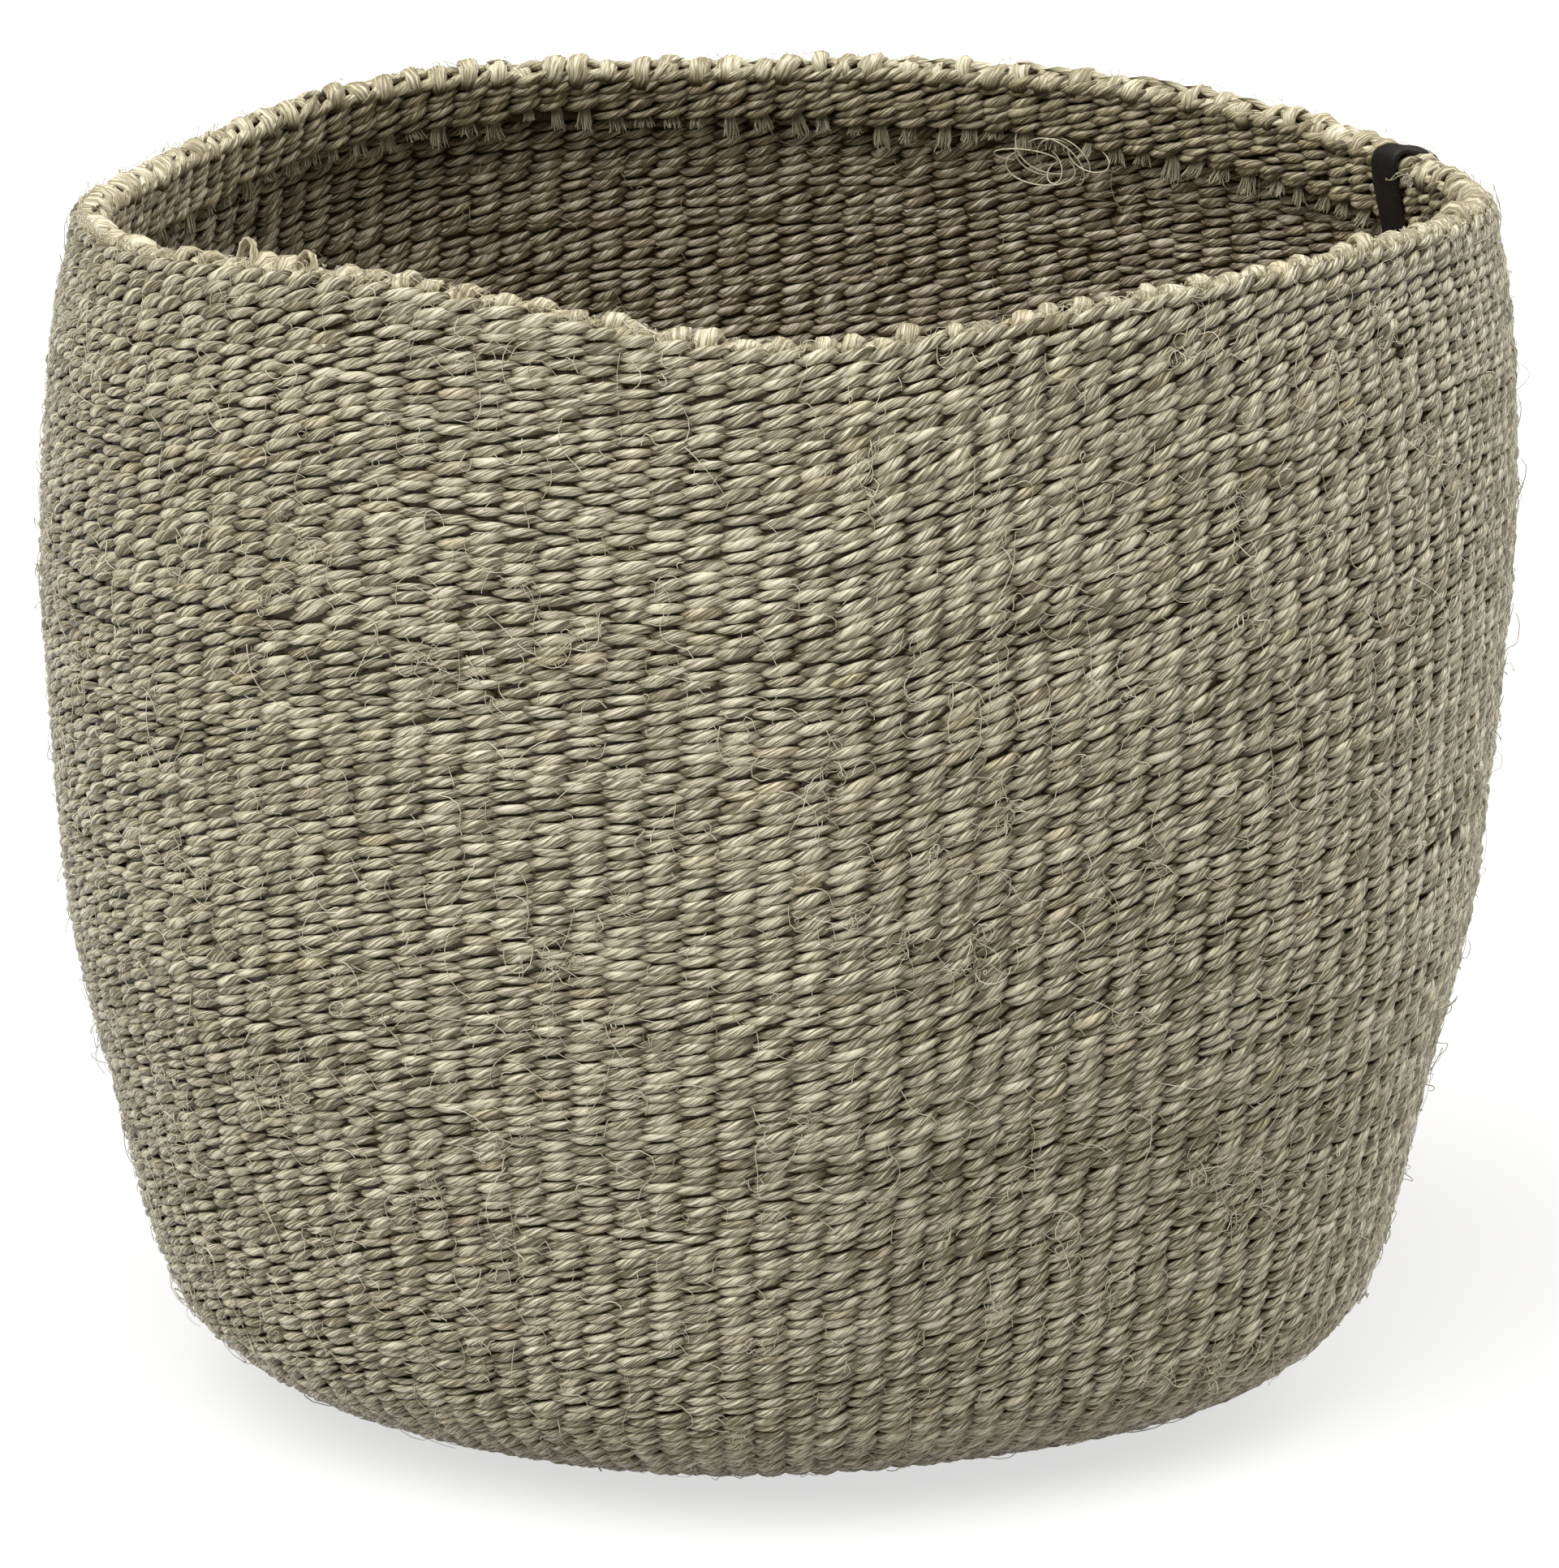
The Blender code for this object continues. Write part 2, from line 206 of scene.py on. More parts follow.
_ring = add(yarn_tree, "GeometryNodeCurvePrimitiveCircle", {}, {
    "Resolution": _given["Sides"], "Radius": 1.0})
_round = add(yarn_tree, "GeometryNodeStoreNamedAttribute", {"data_type": "FLOAT"}, {
    "Geometry": _ring.outputs["Curve"], "Name": "around",
    "Value": add(yarn_tree, "GeometryNodeSplineParameter").outputs["Factor"]})
_thick = add(yarn_tree, "GeometryNodeInputNamedAttribute", {"data_type": "FLOAT"}, {"Name": "thick"})
_tubes = add(yarn_tree, "GeometryNodeCurveToMesh", {}, {
    "Curve": _along.outputs[0], "Profile Curve": _round.outputs[0],
    "Scale": _thick.outputs[0], "Fill Caps": True})
_x = add(yarn_tree, "GeometryNodeInputNamedAttribute", {"data_type": "FLOAT"}, {"Name": "along"})
_y = add(yarn_tree, "GeometryNodeInputNamedAttribute", {"data_type": "FLOAT"}, {"Name": "around"})
_y = add(yarn_tree, "ShaderNodeMath", {"operation": "MULTIPLY"}, {0: _y.outputs[0], 1: 0.006})
_fibre = add(yarn_tree, "ShaderNodeCombineXYZ", {}, {"X": _x.outputs[0], "Y": _y.outputs[0]})
_kept = add(yarn_tree, "GeometryNodeStoreNamedAttribute", {"data_type": "FLOAT_VECTOR"}, {
    "Geometry": _tubes.outputs["Mesh"], "Name": "fibre", "Value": _fibre.outputs[0]})
_smooth = add(yarn_tree, "GeometryNodeSetShadeSmooth", {}, {
    "Geometry": _kept.outputs[0], "Shade Smooth": True})
_painted = add(yarn_tree, "GeometryNodeSetMaterial", {}, {
    "Geometry": add(yarn_tree, "GeometryNodeRealizeInstances", {}, {
        "Geometry": _smooth.outputs["Geometry"]}).outputs["Geometry"],
    "Material": _given["Finish"]})
add(yarn_tree, "NodeGroupOutput", {}, {"Yarns": _painted.outputs["Geometry"]})


def vectors(mesh, key, values):
    """Keeps a vector for each point of a mesh, under a name that its material or tree reads."""
    values = np.asarray(values, float).ravel()
    mesh.attributes.new(key, "FLOAT_VECTOR", "POINT").data.foreach_set("vector", values)


def made_by(tree, name, mesh, given, spare):
    """Runs a Geometry Nodes tree on a mesh and keeps the plain result."""
    piece = bpy.data.objects.new(name, mesh)
    bpy.context.scene.collection.objects.link(piece)
    modifier = piece.modifiers.new("make", "NODES")
    modifier.node_group = tree
    sockets = {item.name: item.identifier for item in tree.interface.items_tree if item.in_out == "INPUT"}
    for key, value in given.items():
        modifier[sockets[key]] = value
    graph = bpy.context.evaluated_depsgraph_get()
    made = bpy.data.meshes.new_from_object(
        piece.evaluated_get(graph), preserve_all_data_layers=True, depsgraph=graph)
    piece.modifiers.clear()
    piece.data = made
    made.name = name
    for key in spare:
        if key in made.attributes:
            made.attributes.remove(made.attributes[key])
    return piece


def yarns(name, paths, thick, tones, sides, finish):
    """Closed round yarns along paths, one row of points each."""
    paths = np.asarray(paths, float)
    count, steps = paths.shape[:2]
    first = (np.arange(count) * steps)[:, None] + np.arange(steps - 1)[None, :]
    edges = np.stack([first, first + 1], axis=-1).reshape(-1, 2)
    mesh = bpy.data.meshes.new(name)
    mesh.from_pydata(paths.reshape(-1, 3).tolist(), edges.tolist(), [])
    for key, values in (("thick", thick), ("tone", np.asarray(tones)[:, None]), ("rise", 1.0)):
        spread = np.ascontiguousarray(np.broadcast_to(values, (count, steps))).ravel()
        mesh.attributes.new(key, "FLOAT", "POINT").data.foreach_set("value", spread)
    return made_by(yarn_tree, name, mesh, {"Sides": sides, "Finish": finish}, ("thick", "along", "around"))


def linear(hex_colour):
    """sRGB hex to the linear values that shaders take."""
    parts = [int(hex_colour[i:i + 2], 16) / 255.0 for i in (1, 3, 5)]
    return [p / 12.92 if p <= 0.04045 else ((p + 0.055) / 1.055) ** 2.4 for p in parts] + [1.0]


def sisal(name, dark, mid, light, shade_colour, bump=0.7, fibre_scale=1.0):
    """Hand-rolled sisal yarn: hard, straight, dry fibres with a faint sheen along them.

    Single fibres are about 0.2 mm thick. They are drawn twice as coarse, so that they show. The last colour
    is painted shade, multiplied in where the yarn runs down into the weave.
    """
    material = bpy.data.materials.new(name)
    material.use_nodes = True
    tree = material.node_tree
    shader = tree.nodes["Principled BSDF"]
    fibre = add(tree, "ShaderNodeAttribute", {"attribute_name": "fibre"}).outputs["Vector"]
    tone = add(tree, "ShaderNodeAttribute", {"attribute_name": "tone"}).outputs["Fac"]
    rise = add(tree, "ShaderNodeAttribute", {"attribute_name": "rise"}).outputs["Fac"]
    shift = add(tree, "ShaderNodeMath", {"operation": "MULTIPLY"}, {0: tone, 1: 37.0}).outputs[0]
    drawn = add(tree, "ShaderNodeVectorMath", {"operation": "MULTIPLY"}, {0: fibre, 1: (0.10, 1.0, 1.0)})
    moved = add(tree, "ShaderNodeVectorMath", {"operation": "ADD"}, {0: drawn.outputs[0], 1: shift})
    coarse = add(tree, "ShaderNodeTexNoise", {}, {
        "Vector": moved.outputs[0], "Scale": 1100.0 / fibre_scale, "Detail": 1.0})
    fine = add(tree, "ShaderNodeTexNoise", {}, {
        "Vector": moved.outputs[0], "Scale": 2600.0 / fibre_scale, "Detail": 1.0})
    streak = add(tree, "ShaderNodeMath", {"operation": "MULTIPLY_ADD"}, {
        0: fine.outputs["Fac"], 1: 0.7, 2: coarse.outputs["Fac"]}).outputs[0]
    toned = add(tree, "ShaderNodeMath", {"operation": "MULTIPLY_ADD"}, {
        0: tone, 1: 0.20, 2: streak}).outputs[0]
    spread = add(tree, "ShaderNodeMapRange", {}, {"Value": toned, "From Min": 0.82, "From Max": 1.11})
    ramp = add(tree, "ShaderNodeValToRGB", {}, {"Fac": spread.outputs[0]})
    stops = ramp.color_ramp.elements
    stops[0].color = linear(dark)
    stops[1].color = linear(light)
    stops.new(0.5).color = linear(mid)
    odd = add(tree, "ShaderNodeMath", {"operation": "MULTIPLY"}, {0: tone, 1: 61.0}).outputs[0]
    odd = add(tree, "ShaderNodeMath", {"operation": "FRACT"}, {0: odd}).outputs[0]
    straw = add(tree, "ShaderNodeMapRange", {}, {
        "Value": odd, "From Min": 0.96, "From Max": 1.0, "To Max": 0.3}).outputs[0]
    blush = add(tree, "ShaderNodeMapRange", {}, {
        "Value": odd, "From Min": 0.04, "From Max": 0.0, "To Max": 0.3}).outputs[0]
    warmed = add(tree, "ShaderNodeMix", {"data_type": "RGBA", "blend_type": "MULTIPLY"}, {
        0: straw, 6: ramp.outputs["Color"], 7: linear("#f7e3ab")}).outputs[2]
    flushed = add(tree, "ShaderNodeMix", {"data_type": "RGBA", "blend_type": "MULTIPLY"}, {
        0: blush, 6: warmed, 7: linear("#eed3bd")}).outputs[2]
    # Painted shade: where the rise attribute is low (the tips of passes, the legs of loops, and all over on
    # pieces that carry no rise) the colour is multiplied by the shade colour.
    shade_in_recess = add(tree, "ShaderNodeMapRange", {}, {
        "Value": rise, "From Min": 0.28, "From Max": 0.97, "To Min": 1.0, "To Max": 0.0}).outputs[0]
    colour = add(tree, "ShaderNodeMix", {"data_type": "RGBA", "blend_type": "MULTIPLY"}, {
        0: shade_in_recess, 6: flushed, 7: linear(shade_colour)}).outputs[2]
    tree.links.new(colour, shader.inputs["Base Color"])
    relief = add(tree, "ShaderNodeBump", {}, {"Strength": bump, "Distance": 0.0004, "Height": streak})
    tree.links.new(relief.outputs["Normal"], shader.inputs["Normal"])
    shader.inputs["Roughness"].default_value = 0.40
    shader.inputs["Specular IOR Level"].default_value = 0.5
    return material


def finished(name, mesh, finish):
    """Puts a finished mesh into the scene with its material."""
    mesh.materials.append(finish)
    piece = bpy.data.objects.new(name, mesh)
    bpy.context.scene.collection.objects.link(piece)
    return piece


def fitted(piece, slot, *nodes):
    """Fixes a finished piece to the basket in place of the plain solids named.

    What would sink below the floor is pressed flat on it, as the weight of the basket does.
    """
    places = np.empty(3 * len(piece.data.vertices))
    piece.data.vertices.foreach_get("co", places)
    places[2::3] = np.maximum(places[2::3], 0.0)
    piece.data.vertices.foreach_set("co", places)
    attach(piece, "root")
    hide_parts(*nodes)


cord_sisal = sisal("bundled_sisal_cord", "#857c62", "#b3aa8c", "#cfc7aa", "#8d8468")
cross_paths = []
for _turn in (0.0, math.pi / 2.0):
    for _i in range(7):
        _side = (_i - 3) * 2.0 * CORD_RADIUS * 0.85
        _reach = math.sqrt(START_RADIUS ** 2 - _side ** 2) * 0.99
        _s = np.linspace(-_reach, _reach, 17)
        _hump = np.cos(np.clip(_s / 0.010, -1.0, 1.0) * math.pi / 2.0)
        _lift = 0.0052 + (0.0011 if _turn else -0.0011) * _hump
        _x = _s * math.cos(_turn) - _side * math.sin(_turn)
        _y = _s * math.sin(_turn) + _side * math.cos(_turn)
        cross_paths.append(base_place(np.arctan2(_y, _x), np.hypot(_s, _side), _lift))
cord_tones = 0.5 + 0.12 * np.sin(np.arange(14) * 2.3)
fitted(yarns("start_cross_cords", cross_paths, CORD_RADIUS, cord_tones, 8, cord_sisal),
       "start_sisal", "warp_start_cross")


# Base: rings of the same twining laid flat, from the crossed start out to the turn. New warps
# are laid in as the rings grow, so the passes keep their length.
BASE_RADIUS = BELLY_RADIUS * FOOT_SHARE - 0.0065
BASE_GRAIN_LENGTH = 0.0088
GRAIN_DEPTH = 0.0034
WEAVE_THICKNESS = 0.0060


def drift(rows, columns, reach, seed):
    """Noise of unit spread that varies slowly along each row and closes on itself."""
    noise = np.random.default_rng(seed).standard_normal((rows, columns))
    waves = np.fft.fftfreq(columns) * math.tau
    smooth = np.fft.ifft(np.fft.fft(noise, axis=1) * np.exp(-0.5 * (waves * reach) ** 2), axis=1).real
    return smooth / smooth.std()


def grain_mesh(name, ring_turns, stations, seed):
    """One pass of a weft strand over a warp: it rises out of the weave, swells and dives back.

    It is one warp pitch long in X, one row pitch high in Y, and Z points out of the weave.
    Both ends run to a point under the neighbouring passes, and the back is flat.
    """
    rng = np.random.default_rng(seed)
    swell = rng.uniform(0.94, 1.06)
    reach = 0.88
    rings = []
    for u in stations:
        body = math.cos(math.pi * u / (2.0 * reach))
        half_high = 0.505 * body ** 0.8 * swell
        half_deep = 0.07 + 0.37 * body
        middle_high = 0.34 * math.sin(math.pi * u / (2.0 * reach))
        middle_deep = 0.66 * body - 0.53
        rings.append([
            (
                u + rng.uniform(-0.02, 0.02),
                middle_high + half_high * math.cos(math.radians(turn)) * rng.uniform(0.94, 1.06),
                middle_deep + half_deep * math.sin(math.radians(turn)) * rng.uniform(0.94, 1.06),
            )
            for turn in ring_turns
        ])
    around = len(ring_turns)
    verts = [(-reach, -0.34, -0.54)] + [point for ring in rings for point in ring] + [(reach, 0.34, -0.54)]
    last = len(verts) - 1
    faces = []
    for j in range(around):
        k = (j + 1) % around
        faces.append((0, 1 + k, 1 + j))
        for i in range(len(rings) - 1):
            a, b = 1 + i * around, 1 + (i + 1) * around
            faces.append((a + j, a + k, b + k, b + j))
        a = 1 + (len(rings) - 1) * around
        faces.append((last, a + j, a + k))
    fibre = [(-reach * 0.0105, 0.004, seed)]
    for u in stations:
        fibre.extend((u * 0.0105, 0.0084 * j / around + 0.0055 * u, seed) for j in range(around))
    fibre.append((reach * 0.0105, 0.004, seed))
    # Rise is 1 at the middle of the pass and 0 at its tips. The material paints shade by it, darker towards
    # the tips that run under the neighbouring passes.
    rise = [0.0] + [math.cos(math.pi * u / (2.0 * reach)) for u in stations for _ in range(around)] + [0.0]
    mesh = bpy.data.meshes.new(name)
    mesh.from_pydata(verts, [], faces)
    mesh.shade_smooth()
    vectors(mesh, "fibre", fibre)
    mesh.attributes.new("rise", "FLOAT", "POINT").data.foreach_set("value", rise)
    return mesh


def shape_set(name, meshes):
    """Keeps a set of like shapes for scattering."""
    shapes = bpy.data.collections.new(name)
    for i, mesh in enumerate(meshes):
        shapes.objects.link(bpy.data.objects.new("%s_%d" % (name, i), mesh))
    return shapes


scatter_tree = bpy.data.node_groups.new("shapes_on_points", "GeometryNodeTree")
for _name, _kind in (
    ("Points", "NodeSocketGeometry"),
    ("Shapes", "NodeSocketCollection"),
    ("Shape count", "NodeSocketInt"),
    ("Seed", "NodeSocketInt"),
    ("Finish", "NodeSocketMaterial"),
):
    scatter_tree.interface.new_socket(_name, in_out="INPUT", socket_type=_kind)
scatter_tree.interface.new_socket("Pieces", in_out="OUTPUT", socket_type="NodeSocketGeometry")
_given = add(scatter_tree, "NodeGroupInput").outputs
_shapes = add(scatter_tree, "GeometryNodeCollectionInfo", {}, {
    "Collection": _given["Shapes"], "Separate Children": True, "Reset Children": True})
_last = add(scatter_tree, "ShaderNodeMath", {"operation": "SUBTRACT"}, {0: _given["Shape count"], 1: 1.0})
_pick = add(scatter_tree, "FunctionNodeRandomValue", {"data_type": "INT"}, {
    5: _last.outputs[0], "Seed": _given["Seed"]})
_turn = add(scatter_tree, "GeometryNodeInputNamedAttribute", {"data_type": "FLOAT_VECTOR"}, {"Name": "turn"})
_size = add(scatter_tree, "GeometryNodeInputNamedAttribute", {"data_type": "FLOAT_VECTOR"}, {"Name": "size"})
_placed = add(scatter_tree, "GeometryNodeInstanceOnPoints", {}, {
    "Points": _given["Points"], "Instance": _shapes.outputs[0], "Pick Instance": True,
    "Instance Index": _pick.outputs[2], "Rotation": _turn.outputs["Attribute"],
    "Scale": _size.outputs["Attribute"]})
_real = add(scatter_tree, "GeometryNodeRealizeInstances", {}, {"Geometry": _placed.outputs["Instances"]})
_painted = add(scatter_tree, "GeometryNodeSetMaterial", {}, {
    "Geometry": _real.outputs["Geometry"], "Material": _given["Finish"]})
add(scatter_tree, "NodeGroupOutput", {}, {"Pieces": _painted.outputs["Geometry"]})


def scatter(name, shapes, points, frames, sizes, tones, finish, seed):
    """One mesh of shapes on points. Frames holds each point's X, Y and Z directions."""
    mesh = bpy.data.meshes.new(name)
    mesh.from_pydata(points.reshape(-1, 3).tolist(), [], [])
    m = frames.reshape(-1, 3, 3)
    turn = np.stack([
        np.arctan2(m[:, 1, 2], m[:, 2, 2]),
        -np.arcsin(np.clip(m[:, 0, 2], -1.0, 1.0)),
        np.arctan2(m[:, 0, 1], m[:, 0, 0]),
    ], axis=-1)
    vectors(mesh, "turn", turn)
    vectors(mesh, "size", sizes)
    mesh.attributes.new("tone", "FLOAT", "POINT").data.foreach_set("value", tones.ravel())
    given = {"Shapes": shapes, "Shape count": len(shapes.objects), "Seed": seed, "Finish": finish}
    return made_by(scatter_tree, name, mesh, given, ("turn", "size"))


def unit(ways):
    """Directions of length one."""
    return ways / np.linalg.norm(ways, axis=-1, keepdims=True)


def surface_frames(place, angle, height, inset, side):
    """Directions at points of the weave: along the row, up the wall and out of this side."""
    step = 0.0004
    along = place(angle + step / 0.2, height, inset) - place(angle - step / 0.2, height, inset)
    up = place(angle, height + step, inset) - place(angle, np.maximum(height - step, 0.0), inset)
    along = unit(along) * side
    out = unit(np.cross(along, up))
    return np.stack([along, np.cross(out, along), out], axis=-2)


def slanted(frames, slant):
    """Turns the first two directions of each frame about the third."""
    c, s = np.cos(slant)[..., None], np.sin(slant)[..., None]
    x, y, z = frames[..., 0, :], frames[..., 1, :], frames[..., 2, :]
    return np.stack([x * c + y * s, y * c - x * s, z], axis=-2)


def strand_drift(rows, columns, reach, seed):
    """Noise that varies slowly along each of a row's two strands, which take turns."""
    if columns % 2:
        return drift(rows, columns, reach, seed)
    both = np.empty((rows, columns))
    both[:, 0::2] = drift(rows, columns // 2, reach, seed)
    both[:, 1::2] = drift(rows, columns // 2, reach, seed + 5000)
    return both


def row_grains(name, place, angle, height, turn_pitch, up_pitch, inset, side, shapes, finish, seed, lean):
    """Rows of twined passes on one face of the weave."""
    rows, columns = angle.shape
    height = height + 0.07 * up_pitch * drift(rows, columns, 9.0, seed + 1)
    angle = angle + 0.08 * turn_pitch * drift(rows, columns, 0.6, seed + 2)
    depth = inset + side * -0.00022 * strand_drift(rows, columns, 1.5, seed + 3)
    points = place(angle, height, depth)
    along = place(angle + turn_pitch / 2.0, height, depth) - place(angle - turn_pitch / 2.0, height, depth)
    low = np.maximum(height - up_pitch / 2.0, 0.0)
    up = place(angle, height + up_pitch / 2.0, depth) - place(angle, low, depth)
    along = np.linalg.norm(along, axis=-1)
    up = np.linalg.norm(up, axis=-1) * up_pitch / (height + up_pitch / 2.0 - low)
    yarn = 1.01 + 0.09 * strand_drift(rows, columns, 2.0, seed + 4)
    yarn = yarn + 0.07 * drift(rows, columns, 0.3, seed + 5)
    along = along * (1.0 + 0.06 * drift(rows, columns, 0.3, seed + 9))
    sizes = np.stack([along, up * yarn, GRAIN_DEPTH * (0.4 + 0.6 * yarn)], axis=-1)
    slant = lean + 0.05 * drift(rows, columns, 0.8, seed + 6)
    frames = slanted(surface_frames(place, angle, height, depth, side), slant)
    tones = 0.5 + 0.13 * strand_drift(rows, columns, 2.5, seed + 7)
    tones = tones + 0.10 * drift(rows, columns, 0.2, seed + 8)
    return scatter(name, shapes, points, frames, sizes, tones, finish, seed)


twined_sisal = sisal("twined_natural_sisal", "#655c43", "#b2aa8f", "#ece5cc", "#817559")
# Partly painted shade: darker sisal than the weft, for the warp layer seen between the base rings, and with
# no rise on the disc the last colour darkens it all over.
hidden_sisal = sisal("hidden_sisal_warp", "#4c442f", "#6d654c", "#857c60", "#9a9174", 0.4)
flat_grains = shape_set("flat_grains", [
    grain_mesh("flat_grain", (-24, 34, 90, 146, 204), (-0.40, 0.0, 0.40), 20 + n) for n in range(5)])


def base_rings(name, inset, side, seed, first, last):
    """All rings on one face of the base, in one mesh.

    First and last are the rings more or less than the count that fills the base.
    """
    count = round((BASE_RADIUS - START_RADIUS) / 0.0033)
    pitch = (BASE_RADIUS + 0.0045 - START_RADIUS) / count
    rng = np.random.default_rng(seed)
    angles, radii, turns = [], [], []
    for i in range(first, count + last):
        radius = START_RADIUS + pitch * (i + 0.5)
        passes = round(math.tau * radius / BASE_GRAIN_LENGTH)
        angles.append(math.tau * (np.arange(passes) + rng.uniform()) / passes)
        radii.append(np.full(passes, radius))
        turns.append(np.full(passes, math.tau / passes))
    angle = np.concatenate(angles)[None, :]
    radius = np.concatenate(radii)[None, :]
    return row_grains(
        name, base_place, angle, radius, np.concatenate(turns)[None, :], pitch, inset, side, flat_grains,
        twined_sisal, seed, 0.07)


fitted(base_rings("base_under_rings", 0.0019, 1.0, 500, -3, 0), "base_sisal", "base_weave")
fitted(base_rings("base_inner_rings", WEAVE_THICKNESS - 0.0018, -1.0, 520, -2, 1),
       "base_sisal", "base_weave")


def disc(name, outer, low, high, finish):
    """A thin closed disc inside the base, so that no light passes between the rings."""
    around = 96
    turns = math.tau * np.arange(around) / around
    rings = [base_place(turns, np.full(around, r), z) for r, z in ((outer, low), (outer, high))]
    centre = base_place(np.zeros(2), np.zeros(2), np.array([low, high]))
    verts = np.concatenate([rings[0], rings[1], centre]).tolist()
    faces = []
    for j in range(around):
        k = (j + 1) % around
        faces.append((j, k, around + k, around + j))
        faces.append((2 * around, k, j))
        faces.append((2 * around + 1, around + j, around + k))
    mesh = bpy.data.meshes.new(name)
    mesh.from_pydata(verts, [], faces)
    return finished(name, mesh, finish)


fitted(disc("base_warp_layer", BASE_RADIUS + 0.010, 0.0024, 0.0036, hidden_sisal),
       "base_sisal", "base_weave")


# Turn and wall, outer face: rows of twined sisal weft, two strands that swap places between one
# warp cord and the next, so each warp shows one slanted grain of yarn in each row. The warps
# stand about 10.5 mm apart at the belly and the rows lie about 3.3 mm apart.
WARPS = 126
WALL_ROWS = 121
ROWS_IN_PIECE = 25
TURN_HEIGHT = 0.036


def rows_to_heights(count, low, high, spread):
    """Heights of the middles of rows laid at an even pitch up the curved wall."""
    heights = np.linspace(low, high, 4001)
    radius, slope = profile(heights)
    run = np.concatenate([[0.0], np.cumsum(np.hypot(np.diff(radius), np.diff(heights)))])
    place = (np.arange(count) + 0.5) / count
    place = place + spread * place * (1.0 - place)
    return np.interp(place * run[-1], run, heights)


def warp_angles(heights, numbers):
    """Angles of the warps, spread evenly round the basket's girth at each height, and their pitch."""
    around = np.linspace(0.0, math.tau, 1441)
    rows = wall_place(around[None, :], np.asarray(heights)[:, None], 0.0)
    run = np.linalg.norm(np.diff(rows, axis=1), axis=-1)
    run = np.concatenate([np.zeros((len(run), 1)), np.cumsum(run, axis=1)], axis=1)
    angles = []
    for line in run:
        closed = np.concatenate([numbers, numbers[:1] + WARPS])
        place = np.interp(TAB_ANGLE, around, line) + closed * line[-1] / WARPS
        angles.append(np.interp(place % line[-1], line, around))
    angles = np.unwrap(np.array(angles), axis=1)
    return angles[:, :-1], np.diff(angles, axis=1) / np.diff(np.append(numbers, numbers[0] + WARPS))


full_round = (-22, 24, 68, 112, 156, 202)
outer_grains = shape_set("outer_grains", [
    grain_mesh("outer_grain", full_round, (-0.52, -0.27, 0.0, 0.27, 0.52), n) for n in range(6)])
wall_heights = rows_to_heights(WALL_ROWS, 0.0, WALL_TOP, -0.06)
turn_rows = int(np.searchsorted(wall_heights, TURN_HEIGHT))


def wall_rows(name, first, last, inset, side, shapes, finish, seed, lean=0.05):
    """A band of the wall's rows on one of its faces."""
    angle, pitch = warp_angles(wall_heights[first:last], np.arange(WARPS))
    share = wall_heights[first:last, None] / WALL_TOP
    sway = np.sin(3.0 * angle + 5.0 * share) + 0.7 * np.sin(7.0 * angle - 4.0 * share + 1.0)
    height = wall_heights[first:last, None] + 0.0009 * sway * np.sin(math.pi * share)
    up_pitch = np.gradient(wall_heights)[first:last, None]
    return row_grains(
        name, wall_place, angle, height, pitch, up_pitch, inset, side, shapes, finish, seed, lean)


OUTER_GRAIN_INSET = 0.0018
fitted(wall_rows("turn_outer_rows", 0, turn_rows, OUTER_GRAIN_INSET, 1.0, outer_grains, twined_sisal, 90),
       "turn_sisal", "base_turn_weave")
for _first in range(turn_rows, WALL_ROWS, ROWS_IN_PIECE):
    _last = min(_first + ROWS_IN_PIECE, WALL_ROWS)
    fitted(wall_rows("wall_outer_rows_%d" % _first, _first, _last, OUTER_GRAIN_INSET, 1.0, outer_grains,
                     twined_sisal, 100 + _first), "wall_sisal", "wall_weave")


# Warp cords: 126 upright sisal cords that the weft is twined around. They show only as dusk in
# the gaps between passes, so they are drawn as one closed shell that swells over each cord.
def ribbed_shell(name, heights, low_inset, high_inset, finish):
    """A closed thin shell whose two faces swell over each warp and dip between them."""
    angle = warp_angles(heights, np.arange(2 * WARPS) / 2.0)[0]
    height = np.asarray(heights)[:, None]
    swell = np.where(np.arange(2 * WARPS) % 2 == 0, 0.0, 0.0009)
    outer = wall_place(angle, height, low_inset + swell[None, :])
    inner = wall_place(angle, height, high_inset - swell[None, :])
    rings = np.concatenate([outer, inner[::-1]])
    count, around = rings.shape[:2]
    verts = rings.reshape(-1, 3)
    faces = []
    for i in range(count):
        a, b = i * around, ((i + 1) % count) * around
        for j in range(around):
            k = (j + 1) % around
            faces.append((a + j, a + k, b + k, b + j))
    mesh = bpy.data.meshes.new(name)
    mesh.from_pydata(verts.tolist(), [], faces)
    mesh.shade_smooth()
    fibre = np.stack([
        np.broadcast_to(np.arange(count)[:, None] * 0.008, (count, around)),
        np.broadcast_to(np.arange(around)[None, :] * 0.005, (count, around)),
        np.zeros((count, around)),
    ], axis=-1)
    vectors(mesh, "fibre", fibre)
    return finished(name, mesh, finish)


# Partly painted shade: the warp colours are darker than the weft's, and the shells carry no rise, so the last
# colour darkens them all over, for the dusk in the gaps.
warp_sisal = sisal("shaded_sisal_warp", "#7a6a48", "#968662", "#ab9c78", "#8d7d5a", 0.4)
warp_heights = np.concatenate([[0.0006], np.linspace(0.004, WALL_TOP - 0.001, 25)])
fitted(ribbed_shell("warp_cords", warp_heights, 0.0024, 0.0036, warp_sisal), "wall_sisal", "wall_weave")


# Wall, inner face: the same rows seen from inside the basket, up to the hem that covers them.
INNER_GRAIN_INSET = WEAVE_THICKNESS - 0.0018
inner_last = int(np.searchsorted(wall_heights, 0.345))
